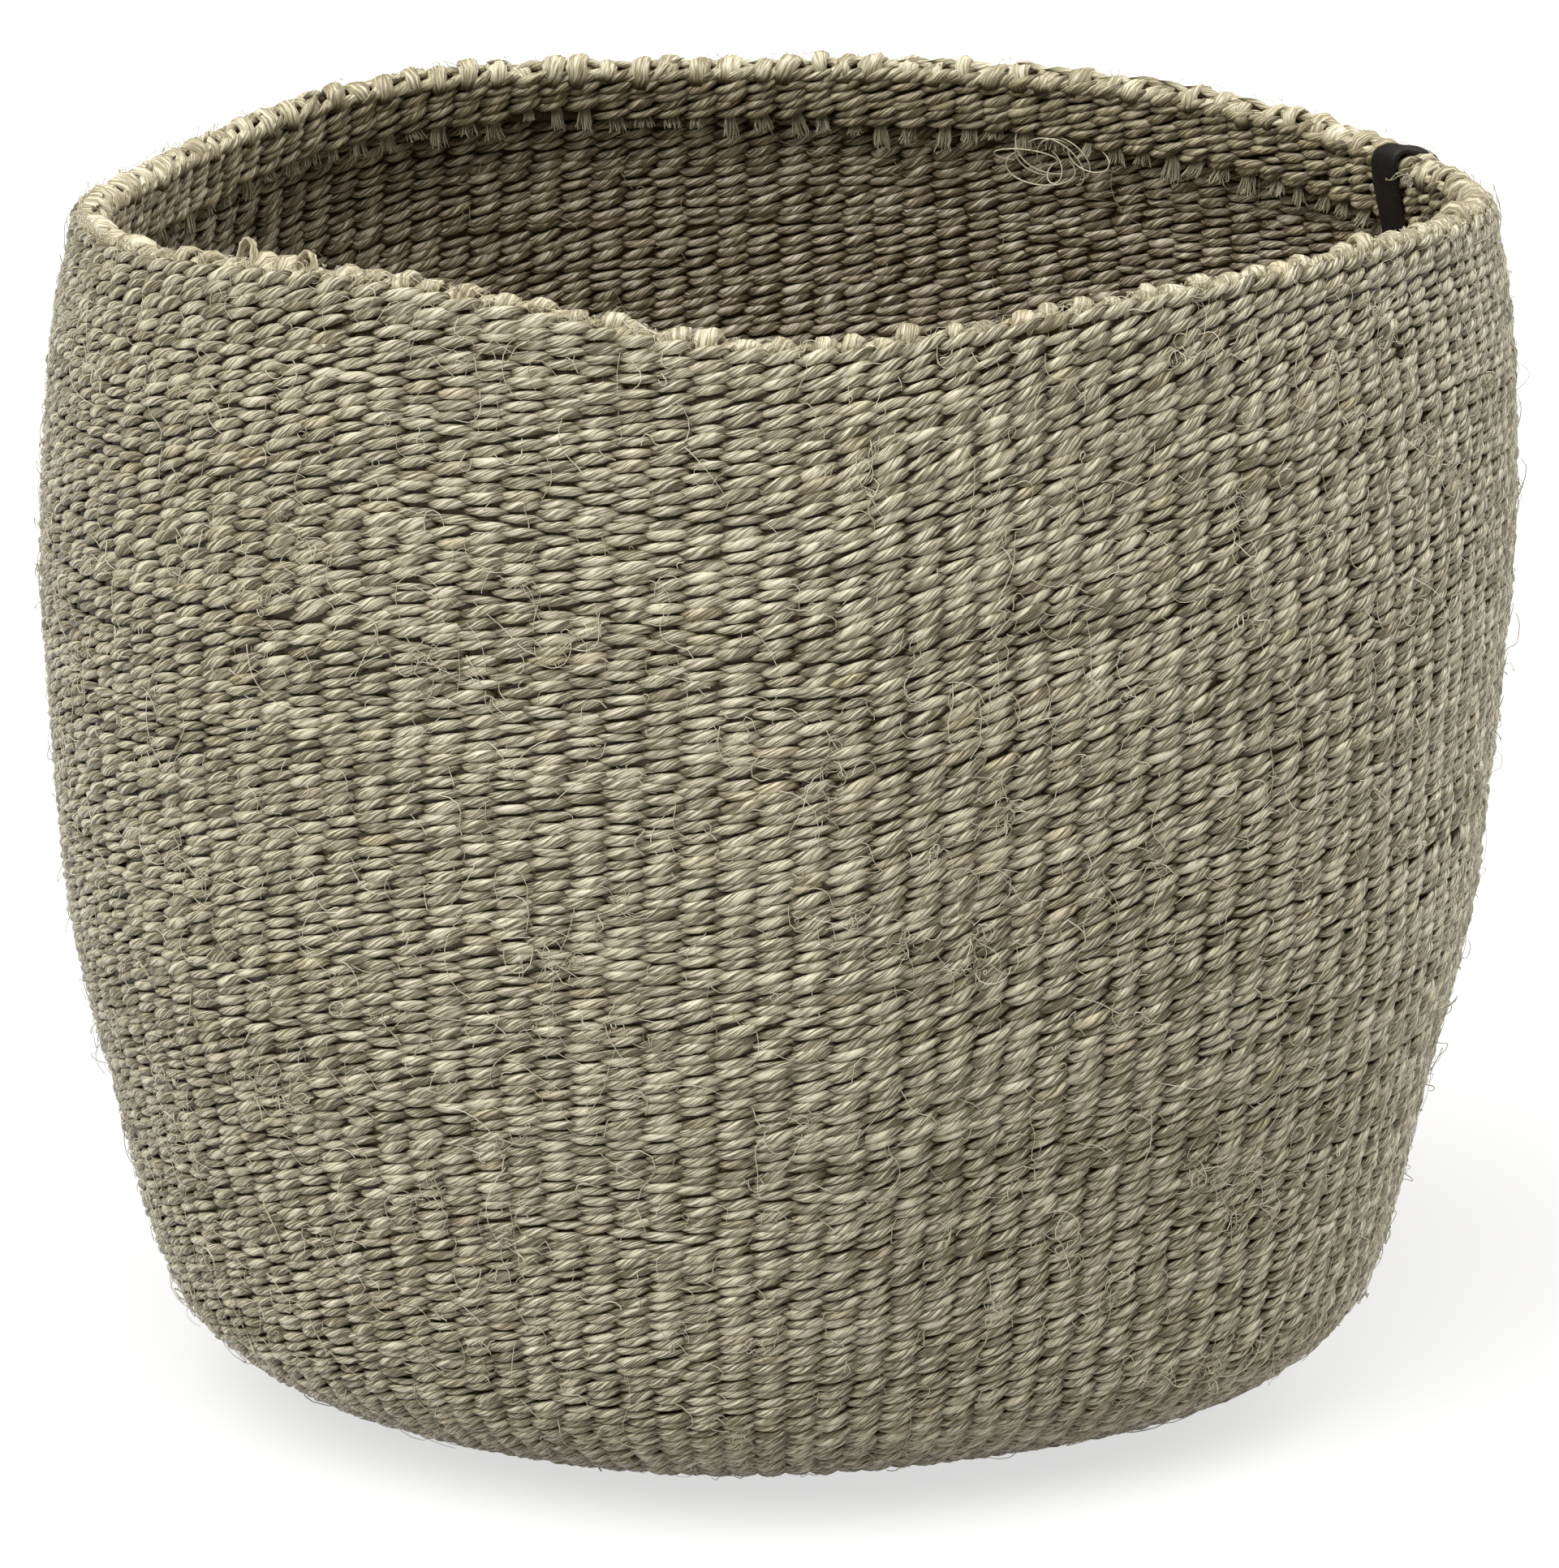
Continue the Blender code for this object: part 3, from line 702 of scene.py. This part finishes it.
# Painted shade: a darker, browner copy of the outer twined sisal for the inner face, which lies in shade.
inside_shaded_sisal = sisal("twined_sisal_inside_shaded", "#655941", "#a69880", "#efe6cf", "#83704f")
fitted(wall_rows("turn_inner_rows", 1, turn_rows, INNER_GRAIN_INSET, -1.0, flat_grains, inside_shaded_sisal, 300),
       "turn_sisal", "base_turn_weave")
for _first in range(turn_rows, inner_last, 36):
    _last = min(_first + 36, inner_last)
    fitted(wall_rows("wall_inner_rows_%d" % _first, _first, _last, INNER_GRAIN_INSET, -1.0, flat_grains,
                     inside_shaded_sisal, 310 + _first), "wall_sisal", "wall_weave")


# Hem: four to seven more rows of twining inside the rim. They hold down the warps that were
# turned over, are worked looser than the wall, and run lower at the right than at the left.
HEM_PITCH = 0.0031
HEM_GRAIN_INSET = 0.0100
HEM_HEIGHTS = ((0, 21.0), (40, 22.0), (70, 18.8), (92, 15.8), (112, 13.4), (140, 16.6),
               (180, 18.5), (270, 19.5), (360, 21.0))


def hem_rows_at(angle):
    """How many rows the hem has at an angle."""
    degrees, heights = zip(*HEM_HEIGHTS)
    return np.round(np.interp(np.degrees(angle) % 360.0, degrees, heights) * 0.001 / HEM_PITCH)


hem_sisal = sisal("twined_hem_sisal", "#655a41", "#aa9f80", "#e2d7b8", "#6d5f43")
hem_grains = shape_set("hem_grains", [
    grain_mesh("hem_grain", full_round, (-0.62, -0.34, 0.0, 0.34, 0.62), 40 + n) for n in range(6)])
for _row in range(7):
    _height = WALL_TOP + 0.0006 - (_row + 0.5) * HEM_PITCH
    _angle, _turn = warp_angles([_height], np.arange(WARPS))
    _kept = hem_rows_at(_angle[0]) > _row
    _angle, _turn = _angle[:, _kept], _turn[:, _kept]
    fitted(row_grains("hem_row_%d" % _row, wall_place, _angle, np.full(_angle.shape, _height), _turn,
                      HEM_PITCH, HEM_GRAIN_INSET, -1.0, hem_grains, hem_sisal, 400 + 11 * _row, 0.08),
           "hem_sisal", "hem_weave")
leg_heights = np.linspace(0.3390, WALL_TOP - 0.0006, 8)
fitted(ribbed_shell("turned_warp_legs", leg_heights, 0.0062, 0.0088, warp_sisal), "hem_sisal", "hem_weave")


# Turned-over warps: each warp comes up out of the weave, turns over the rim as a plump loop of
# loose pale fibre, and runs down behind the hem. Between two loops the last strand of weft
# crosses the rim on the slant.
LOOP_WIDTH = 0.0066
LOOP_DEPTH = 0.0034
LOOP_RISE = 0.0050


def capped_tube(name, rings, around, verts):
    """Faces round and at both ends of a tube, turned outwards."""
    faces = []
    for i in range(rings - 1):
        for j in range(around):
            k = (j + 1) % around
            faces.append((i * around + j, i * around + k, (i + 1) * around + k, (i + 1) * around + j))
    faces.append(tuple(range(around))[::-1])
    faces.append(tuple((rings - 1) * around + j for j in range(around)))
    mesh = bpy.data.meshes.new(name)
    mesh.from_pydata(np.array(verts).tolist(), [], faces)
    work = bmesh.new()
    work.from_mesh(mesh)
    bmesh.ops.recalc_face_normals(work, faces=work.faces)
    work.to_mesh(mesh)
    work.free()
    mesh.shade_smooth()
    return mesh


def loop_mesh(name, seed):
    """One loop: X runs along the rim, Y up and Z out. Its two legs end inside the weave."""
    rng = np.random.default_rng(seed)
    high = rng.uniform(0.70, 1.15)
    lean = rng.uniform(0.0004, 0.0040)
    path = np.array((
        (-0.3, -3.8, -0.2), (-0.2, -1.4, 0.8), (-0.1, 1.0, 1.5), (0.0, 2.5, 0.7),
        (0.1, 2.9, -1.2), (0.1, 2.1, -3.4), (0.2, -0.4, -4.8), (0.2, -3.2, -5.2),
    )) * 0.001
    path[:, 1] = np.where(path[:, 1] > 0.0, path[:, 1] * high, path[:, 1])
    path[:, 0] += lean * np.linspace(-0.5, 0.5, len(path)) + rng.normal(0.0, 0.0002, len(path))
    fullness = np.array((0.70, 0.88, 0.98, 1.0, 1.02, 1.0, 0.90, 0.7)) * rng.uniform(0.86, 1.12)
    ahead = unit(np.gradient(path, axis=0))
    around = 9
    verts, fibre = [], []
    run = np.concatenate([[0.0], np.cumsum(np.linalg.norm(np.diff(path, axis=0), axis=1))])
    twist = rng.uniform(-0.3, 0.5)
    for i, (point, way) in enumerate(zip(path, ahead)):
        out = np.cross((1.0, 0.0, 0.0), way)
        out /= np.linalg.norm(out)
        wide = np.cross(way, out)
        for j in range(around):
            turn = math.tau * j / around
            ridge = 1.0 + 0.11 * math.sin(3.0 * turn + seed + 0.5 * i) + rng.normal(0.0, 0.05)
            verts.append(
                point + wide * math.cos(turn) * LOOP_WIDTH / 2.0 * fullness[i] * ridge
                + out * math.sin(turn) * LOOP_DEPTH / 2.0 * fullness[i] * ridge)
            fibre.append((run[i], 0.017 * j / around + twist * run[i], seed))
    mesh = capped_tube(name, len(path), around, verts)
    vectors(mesh, "fibre", fibre)
    # Rise falls to 0 down the legs, so the material paints shade on them where they go into the weave.
    rise = np.repeat(np.clip((path[:, 1] + 0.004) / 0.005, 0.0, 1.0), around)
    mesh.attributes.new("rise", "FLOAT", "POINT").data.foreach_set("value", rise)
    return mesh


def tilted(frames, tilt):
    """Turns the last two directions of each frame about the first, from out towards up."""
    c, s = math.cos(tilt), math.sin(tilt)
    x, y, z = frames[..., 0, :], frames[..., 1, :], frames[..., 2, :]
    return np.stack([x, y * c - z * s, z * c + y * s], axis=-2)


pale_sisal = sisal("pale_combed_sisal", "#94896d", "#cbc1a0", "#efe8ce", "#7d7257", 0.9, 0.8)
loop_shapes = shape_set("warp_loops", [loop_mesh("warp_loop", 60 + n) for n in range(9)])
_rng = np.random.default_rng(610)
_angle = warp_angles([WALL_TOP], np.arange(WARPS) + 0.10 * _rng.standard_normal(WARPS))[0][0]
_inset = 0.0053 + 0.0005 * _rng.standard_normal(WARPS)
_height = WALL_TOP - 0.0004 + 0.0005 * _rng.standard_normal(WARPS)
_height = _height + 0.0008 * np.clip(-np.sin(_angle), 0.0, 1.0)
_sizes = np.stack([
    _rng.uniform(0.78, 1.18, WARPS),
    _rng.uniform(0.72, 1.20, WARPS),
    _rng.uniform(0.90, 1.10, WARPS),
], axis=-1)
_under_tab = np.abs(_angle - TAB_ANGLE) * RIM_RADIUS < 0.0085
_sizes[_under_tab, 1] = 0.35
_height[_under_tab] -= 0.0012
_before_tab = np.abs((TAB_ANGLE - _angle) * RIM_RADIUS - 0.0135) < 0.0050
_height[_before_tab] += 0.0014
_frames = surface_frames(wall_place, _angle, _height, _inset, 1.0)
_frames = slanted(_frames, 0.18 * _rng.standard_normal(WARPS) - 0.12)
_tones = 0.5 + 0.22 * _rng.standard_normal(WARPS)
_points = wall_place(_angle, _height, _inset)
fitted(scatter("rim_loops", loop_shapes, _points, _frames, _sizes, _tones, pale_sisal, 61),
       "warp_sisal", "turned_warp_ends")

_angle = warp_angles([WALL_TOP], np.arange(WARPS) + 0.5)[0][0]
_points = wall_place(_angle, WALL_TOP - 0.0006, 0.0048)
_frames = tilted(slanted(surface_frames(wall_place, _angle, WALL_TOP, 0.0048, 1.0),
                         0.35 + 0.15 * _rng.standard_normal(WARPS)), 0.9)
_sizes = np.stack([
    np.full(WARPS, 0.0108),
    0.0044 * _rng.uniform(0.8, 1.2, WARPS),
    0.0050 * _rng.uniform(0.8, 1.2, WARPS),
], axis=-1)
fitted(scatter("rim_crossing_strands", outer_grains, _points, _frames, _sizes,
               0.5 + 0.2 * _rng.standard_normal(WARPS), pale_sisal, 62), "warp_sisal", "turned_warp_ends")
_points = wall_place(_angle, WALL_TOP - 0.0006, 0.0092)
_frames = tilted(slanted(surface_frames(wall_place, _angle, WALL_TOP, 0.0090, -1.0),
                         0.15 + 0.2 * _rng.standard_normal(WARPS)), 0.8)
fitted(scatter("rim_inner_strands", outer_grains, _points, _frames, _sizes[::-1] * (1.0, 0.8, 0.7),
               0.5 + 0.2 * _rng.standard_normal(WARPS), pale_sisal, 63), "warp_sisal", "turned_warp_ends")
# The roll carries no rise, so its material's last colour darkens it all over: painted shade under the loops.
roll_heights = np.linspace(0.3500, WALL_TOP - 0.0004, 5)
fitted(ribbed_shell("rim_roll", roll_heights, 0.0032, 0.0090, pale_sisal), "warp_sisal", "turned_warp_ends")


# Cut ends: under the hem every turned-over warp was cut off short, and its fibres fan out as a
# small pale brush.
CUT_STRANDS = 18
CUT_LENGTH = 0.0058
_across = np.tile(np.linspace(-1.0, 1.0, CUT_STRANDS), WARPS)
_count = len(_across)
_angle = warp_angles([0.338], np.arange(WARPS) + 0.08 * _rng.standard_normal(WARPS))[0][0]
_top = WALL_TOP + 0.0006 - hem_rows_at(_angle) * HEM_PITCH
_angle, _top = np.repeat(_angle, CUT_STRANDS), np.repeat(_top, CUT_STRANDS)
_wide = np.repeat(_rng.uniform(0.0017, 0.0032, WARPS), CUT_STRANDS)
_side = np.repeat(0.0010 * _rng.standard_normal(WARPS), CUT_STRANDS)
_drop = np.repeat(CUT_LENGTH * _rng.uniform(0.35, 1.15, WARPS), CUT_STRANDS)
_drop = _drop * _rng.uniform(0.75, 1.15, _count)
_flare = _rng.uniform(0.0010, 0.0034, _count)
_paths = []
for _share in (0.0, 0.35, 0.7, 1.0):
    _off = _across * _wide * (0.60 + 0.5 * _share) + _side * _share
    _off = _off + 0.0004 * _share * _rng.standard_normal(_count)
    _level = _top + 0.0016 - (_drop + 0.0016) * _share
    _paths.append(wall_place(_angle + _off / RIM_RADIUS, _level, 0.0088 + _flare * _share ** 1.5))
_thick = np.array((1.0, 1.0, 0.9, 0.6))[None, :] * _rng.uniform(0.00022, 0.00036, _count)[:, None]
fitted(yarns("cut_warp_ends", np.stack(_paths, axis=1), _thick, 0.75 + 0.25 * _rng.standard_normal(_count), 3,
             pale_sisal), "warp_sisal", "turned_warp_ends")


# Leather tab: a strip of black vegetable-tanned leather, 12 mm wide and 1.7 mm thick, folded over
# the rim, with rounded ends. What holds it doesn't show, so nothing more is drawn than the strip.
TAB_WIDTH = 0.0118
TAB_THICKNESS = 0.0017


def tab_line(share):
    """Inset and height of the middle of the strip's thickness, from outer to inner end.

    It was pulled down hard on the outside, so it is highest near its inner fold.
    """
    inset = np.array((-0.5, -0.8, -1.0, 0.8, 5.0, 8.8, 11.6, 12.8, 12.7, 12.3)) * 0.001
    height = np.array((318.0, 335.0, 351.2, 356.0, 357.2, 359.3, 358.2, 352.8, 338.0, 322.0)) * 0.001
    for _ in range(4):
        inset, height = [
            np.concatenate([
                v[:1],
                np.stack([0.75 * v[:-1] + 0.25 * v[1:], 0.25 * v[:-1] + 0.75 * v[1:]], 1).ravel(),
                v[-1:],
            ])
            for v in (inset, height)]
    run = np.concatenate([[0.0], np.cumsum(np.hypot(np.diff(inset), np.diff(height)))])
    return np.interp(share * run[-1], run, inset), np.interp(share * run[-1], run, height), run[-1]


def strap_mesh(name, stations, finish):
    """The folded strip, with rounded edges and ends, and a little uneven."""
    rng = np.random.default_rng(700)
    shares = np.linspace(0.0, 1.0, stations)
    inset, height, total = tab_line(shares)
    edge = np.minimum(shares, 1.0 - shares) * total
    wide = TAB_WIDTH / 2.0 * np.sqrt(np.clip(1.0 - np.clip(1.0 - edge / 0.0050, 0.0, 1.0) ** 2, 0.05, 1.0))
    wide = wide * (1.0 + 0.015 * np.sin(shares * 21.0) + 0.010 * np.sin(shares * 47.0))
    section = [
        (-1.0, -0.35), (-0.97, -0.80), (-0.90, -1.0), (-0.45, -1.0), (0.0, -1.0), (0.45, -1.0),
        (0.90, -1.0), (0.97, -0.80), (1.0, -0.35), (1.0, 0.35), (0.97, 0.80), (0.90, 1.0),
        (0.45, 1.0), (0.0, 1.0), (-0.45, 1.0), (-0.90, 1.0), (-0.97, 0.80), (-1.0, 0.35),
    ]
    verts, flow = [], []
    before = np.gradient(inset), np.gradient(height)
    for i in range(stations):
        way = np.array([before[0][i], before[1][i]])
        way /= np.linalg.norm(way)
        normal = np.array([-way[1], way[0]])
        for x, y in section:
            off = normal * y * TAB_THICKNESS / 2.0 * (1.0 + 0.03 * math.sin(9.0 * x + shares[i] * 30.0))
            sag = 0.0022 * max(x, 0.0) ** 2 * math.exp(-(edge[i] / total - 0.5) ** 2 / 0.03)
            at = TAB_ANGLE + x * wide[i] / RIM_RADIUS
            verts.append(wall_place(at, height[i] + off[1] - sag, inset[i] + off[0]))
            flow.append((shares[i] * total, x * wide[i], y * 0.001))
    mesh = capped_tube(name, stations, len(section), verts)
    vectors(mesh, "flow", flow)
    return finished(name, mesh, finish)


def leather(name):
    """Black vegetable-tanned leather: matt, finely pebbled, greyer where it was rubbed."""
    material = bpy.data.materials.new(name)
    material.use_nodes = True
    tree = material.node_tree
    shader = tree.nodes["Principled BSDF"]
    flow = add(tree, "ShaderNodeAttribute", {"attribute_name": "flow"}).outputs["Vector"]
    pebble = add(tree, "ShaderNodeTexVoronoi", {"feature": "SMOOTH_F1"}, {"Vector": flow, "Scale": 1400.0})
    crease = add(tree, "ShaderNodeTexNoise", {}, {
        "Vector": flow, "Scale": 300.0, "Detail": 4.0, "Roughness": 0.6})
    rub = add(tree, "ShaderNodeTexNoise", {}, {"Vector": flow, "Scale": 90.0, "Detail": 3.0})
    worn = add(tree, "ShaderNodeMapRange", {}, {
        "Value": rub.outputs["Fac"], "From Min": 0.42, "From Max": 0.70})
    colour = add(tree, "ShaderNodeMix", {"data_type": "RGBA"}, {
        0: worn.outputs[0], 6: linear("#120f0d"), 7: linear("#221d19")})
    tree.links.new(colour.outputs[2], shader.inputs["Base Color"])
    height = add(tree, "ShaderNodeMath", {"operation": "MULTIPLY_ADD"}, {
        0: crease.outputs["Fac"], 1: 1.2, 2: pebble.outputs["Distance"]})
    relief = add(tree, "ShaderNodeBump", {}, {
        "Strength": 0.6, "Distance": 0.0003, "Height": height.outputs[0]})
    tree.links.new(relief.outputs["Normal"], shader.inputs["Normal"])
    rough = add(tree, "ShaderNodeMapRange", {}, {
        "Value": crease.outputs["Fac"], "To Min": 0.50, "To Max": 0.72})
    tree.links.new(rough.outputs[0], shader.inputs["Roughness"])
    shader.inputs["Specular IOR Level"].default_value = 0.4
    return material


tab_leather = leather("black_vegetable_tanned_leather")
fitted(strap_mesh("leather_strip", 74, tab_leather), "tab_leather", "leather_tab")


# Stray fibres: hard sisal sheds single pale fibres all over, which stand off the weave in loose
# curls, closer together at the rim. They are drawn 0.2 to 0.4 mm thick, so that they show.
def stray_paths(count, steps, angle, height, length, lift, curl, side, face_inset, seed):
    """Curling lines that start and end in the weave and stand off it between."""
    rng = np.random.default_rng(seed)
    heading = rng.uniform(0.0, math.tau, count)
    bend = rng.normal(0.0, curl, count)
    sway = rng.normal(0.0, curl, count)
    share = np.linspace(0.0, 1.0, steps)
    course = heading[:, None] + bend[:, None] * share[None, :] * 2.0
    course = course + sway[:, None] * np.sin(share * 5.0)[None, :]
    stride = (length / (steps - 1))[:, None]
    across = np.cumsum(np.cos(course) * stride, axis=1)
    up = np.cumsum(np.sin(course) * stride, axis=1)
    arch = np.clip(share[None, :] * rng.uniform(0.75, 1.0, count)[:, None], 0.0, 1.0)
    off = lift[:, None] * np.sin(arch * math.pi)
    top = np.maximum(WALL_TOP + 0.0036 - np.abs(WALL_TOP + 0.0036 - height[:, None] - up), 0.002)
    return wall_place(angle[:, None] + across / 0.205, top, face_inset - side * off)


def stray_fibres(name, steps, angle, height, length, lift, curl, side, inset, finest, seed, slot, node):
    """A group of stray fibres. Length and lift are the shape and scale of their spread."""
    count = len(angle)
    long, off = _rng.gamma(*length, count), _rng.gamma(*lift, count)
    paths = stray_paths(count, steps, angle, height, long, off, curl, side, inset, seed)
    rng = np.random.default_rng(seed + 1)
    thick = finest * rng.uniform(0.6, 1.3, count)[:, None] * np.linspace(1.0, 0.6, steps)[None, :]
    fitted(yarns(name, paths, thick, 0.6 + 0.25 * rng.standard_normal(count), 3, loose_sisal), slot, node)


loose_sisal = sisal("loose_sisal_fibre", "#b3a98c", "#dcd4b8", "#f4eedb", "#c9bf9f", 0.2)
_rng = np.random.default_rng(800)
_count = 4200
_angle = _rng.uniform(0.0, math.tau, _count)
_height = _rng.uniform(0.005, 0.352, _count)
stray_fibres("stray_fibres_outside", 8, _angle, _height, (3.0, 0.0042), (1.6, 0.0005), 1.1, 1.0, 0.0006,
             0.00017, 801, "wall_sisal", "wall_weave")
_knots = 230
_many = _rng.integers(5, 14, _knots)
_count = int(_many.sum())
_angle = np.repeat(_rng.uniform(0.0, math.tau, _knots), _many) + 0.008 * _rng.standard_normal(_count)
_height = np.repeat(_rng.uniform(0.02, 0.345, _knots), _many) + 0.0015 * _rng.standard_normal(_count)
stray_fibres("stray_fibre_knots", 8, _angle, _height, (3.0, 0.0036), (2.0, 0.0008), 1.3, 1.0, 0.0006,
             0.00018, 811, "wall_sisal", "wall_weave")
_count = 1000
_angle = _rng.uniform(0.0, math.tau, _count)
_height = _rng.uniform(0.03, 0.350, _count)
stray_fibres("stray_fibres_inside", 7, _angle, _height, (3.0, 0.0040), (1.6, 0.0010), 1.1, -1.0, 0.0050,
             0.00013, 803, "wall_sisal", "wall_weave")
_count = 420
_angle = _rng.uniform(0.0, math.tau, _count)
_height = _rng.normal(WALL_TOP + 0.0010, 0.0016, _count)
stray_fibres("stray_fibres_at_rim", 10, _angle, _height, (3.0, 0.0028), (2.0, 0.0004), 1.8, 1.0, 0.0028,
             0.00010, 805, "warp_sisal", "turned_warp_ends")
_count = 330
_angle = np.radians(_rng.uniform(185.0, 355.0, _count))
_height = _rng.normal(WALL_TOP + 0.0014, 0.0012, _count)
stray_fibres("stray_fibres_at_front_rim", 10, _angle, _height, (3.0, 0.0032), (2.0, 0.0007), 2.0, 1.0, 0.0028,
             0.00016, 807, "warp_sisal", "turned_warp_ends")


# Fibres that were pulled out of place: a tangle under the hem at the back, tufts at both corners
# and beside the tab, and two loops of loose cord that stand up at the front left.
for _name, _at, _level, _count, _apart, _long, _lift, _side, _inset in (
    ("tuft_at_left_corner", 197.0, 0.3525, 60, 0.0120, 0.0030, 0.0004, 1.0, 0.0020),
    ("tuft_at_right_corner", 346.0, 0.3535, 60, 0.0150, 0.0040, 0.0010, -1.0, 0.0080),
    ("fibres_over_the_tab", 17.9, 0.3534, 12, 0.0016, 0.0017, 0.0010, -1.0, 0.0120),
):
    _angle = math.radians(_at) + _apart / RIM_RADIUS * _rng.standard_normal(_count)
    _height = _level + 0.4 * _apart * _rng.standard_normal(_count)
    stray_fibres(_name, 12, _angle, _height, (3.0, _long), (2.0, _lift), 2.4, _side, _inset,
                 0.00015, int(_at), "warp_sisal", "turned_warp_ends")
_turns = np.linspace(0.0, 1.0, 40)
_paths = []
for _curl in range(9):
    _wide, _tall = _rng.uniform(0.0050, 0.0130), _rng.uniform(0.0030, 0.0080)
    _way = _rng.uniform(0.0, math.tau) + _turns * _rng.uniform(0.4, 0.9) * math.tau
    _grow = 1.0 + _rng.uniform(-0.6, 0.5) * _turns
    _angle = math.radians(_rng.normal(61.5, 1.4))
    _angle = _angle + (_wide * _grow * np.cos(_way) + 0.014 * _rng.normal() * _turns) / RIM_RADIUS
    _height = _rng.normal(0.3285, 0.0026) + _tall * _grow * np.sin(_way) + 0.004 * _rng.normal() * _turns
    _inset = 0.0085 + 0.0050 * _rng.uniform(0.3, 1.0) * np.sin(_turns * math.pi)
    _paths.append(wall_place(_angle, _height, _inset))
_tones = 1.1 + 0.2 * _rng.standard_normal(9)
fitted(yarns("tangle_of_fibre_inside", np.stack(_paths), 0.00025, _tones, 4, loose_sisal),
       "hem_sisal", "hem_weave")
_share = np.linspace(-1.0, 1.0, 13)
_paths = []
for _at, _half, _rise in ((223.4, 0.0027, 0.0066), (229.4, 0.0024, 0.0045)):
    for _strand in range(3):
        _bow = _rise * np.sqrt(np.clip(1.0 - _share**2, 0.0, 1.0)) * (1.0 - 0.06 * _strand)
        _paths.append(wall_place(
            math.radians(_at) + _share * _half * (1.0 + 0.10 * _strand) / 0.20, WALL_TOP + 0.0018 + _bow,
            0.0030 + 0.0008 * _strand + 0.0002 * _rng.standard_normal(13)))
_tones = 0.9 + 0.1 * _rng.standard_normal(6)
fitted(yarns("rim_standing_loops", np.stack(_paths), 0.00055, _tones, 6, pale_sisal),
       "warp_sisal", "turned_warp_ends")


# Floor and light: a plain white sweep under broad, soft daylight from the front left and a
# weaker window behind at the right, which leave only a faint shadow where the basket stands.
floor_mesh = bpy.data.meshes.new("studio_floor")
floor_mesh.from_pydata([(-8, -5, 0), (8, -5, 0), (8, 12, 0), (-8, 12, 0)], [], [(0, 1, 2, 3)])
floor = bpy.data.objects.new("studio_floor", floor_mesh)
bpy.context.scene.collection.objects.link(floor)
paper = bpy.data.materials.new("white_background_paper")
paper.use_nodes = True
_tree = paper.node_tree
_tree.nodes.clear()
_ray = add(_tree, "ShaderNodeLightPath").outputs
_seen = add(_tree, "ShaderNodeMath", {"operation": "MAXIMUM"}, {
    0: _ray["Is Camera Ray"], 1: _ray["Is Glossy Ray"]})
_seen = add(_tree, "ShaderNodeMath", {"operation": "MAXIMUM"}, {
    0: _seen.outputs[0], 1: _ray["Is Transmission Ray"]})
_plain = add(_tree, "ShaderNodeBsdfDiffuse", {}, {"Color": linear("#a8a8a8")})
_thin = add(_tree, "ShaderNodeBsdfDiffuse", {}, {"Color": (0.34, 0.34, 0.34, 1.0)})
_glow = add(_tree, "ShaderNodeEmission", {}, {"Color": (1.0, 1.0, 1.0, 1.0), "Strength": 0.67})
_bright = add(_tree, "ShaderNodeAddShader", {}, {0: _thin.outputs[0], 1: _glow.outputs[0]})
_mixed = add(_tree, "ShaderNodeMixShader", {}, {
    0: _seen.outputs[0], 1: _plain.outputs[0], 2: _bright.outputs[0]})
add(_tree, "ShaderNodeOutputMaterial", {}, {"Surface": _mixed.outputs[0]})
floor_mesh.materials.append(paper)

world = bpy.data.worlds.new("soft_daylight")
bpy.context.scene.world = world
world.use_nodes = True
_back = world.node_tree.nodes["Background"]
_back.inputs["Color"].default_value = (1.0, 0.95, 0.87, 1.0)
_back.inputs["Strength"].default_value = 0.23


def soft_daylight(name, heading, height, strength, spread, colour):
    """Broad light from far off. Heading turns from the front towards the right."""
    data = bpy.data.lights.new(name, "SUN")
    data.angle = math.radians(spread)
    data.energy = strength
    data.color = colour
    lamp = bpy.data.objects.new(name, data)
    bpy.context.scene.collection.objects.link(lamp)
    heading, height = math.radians(heading), math.radians(height)
    flat = math.cos(height)
    way = Vector((math.sin(heading) * flat, -math.cos(heading) * flat, math.sin(height)))
    lamp.rotation_euler = way.to_track_quat("Z", "Y").to_euler()


soft_daylight("window_left", -46.0, 58.0, 3.50, 64.0, (1.0, 1.0, 0.99))
soft_daylight("window_behind_right", 114.0, 38.0, 1.80, 50.0, (1.0, 0.99, 0.96))

bpy.context.scene.view_settings.view_transform = "Standard"
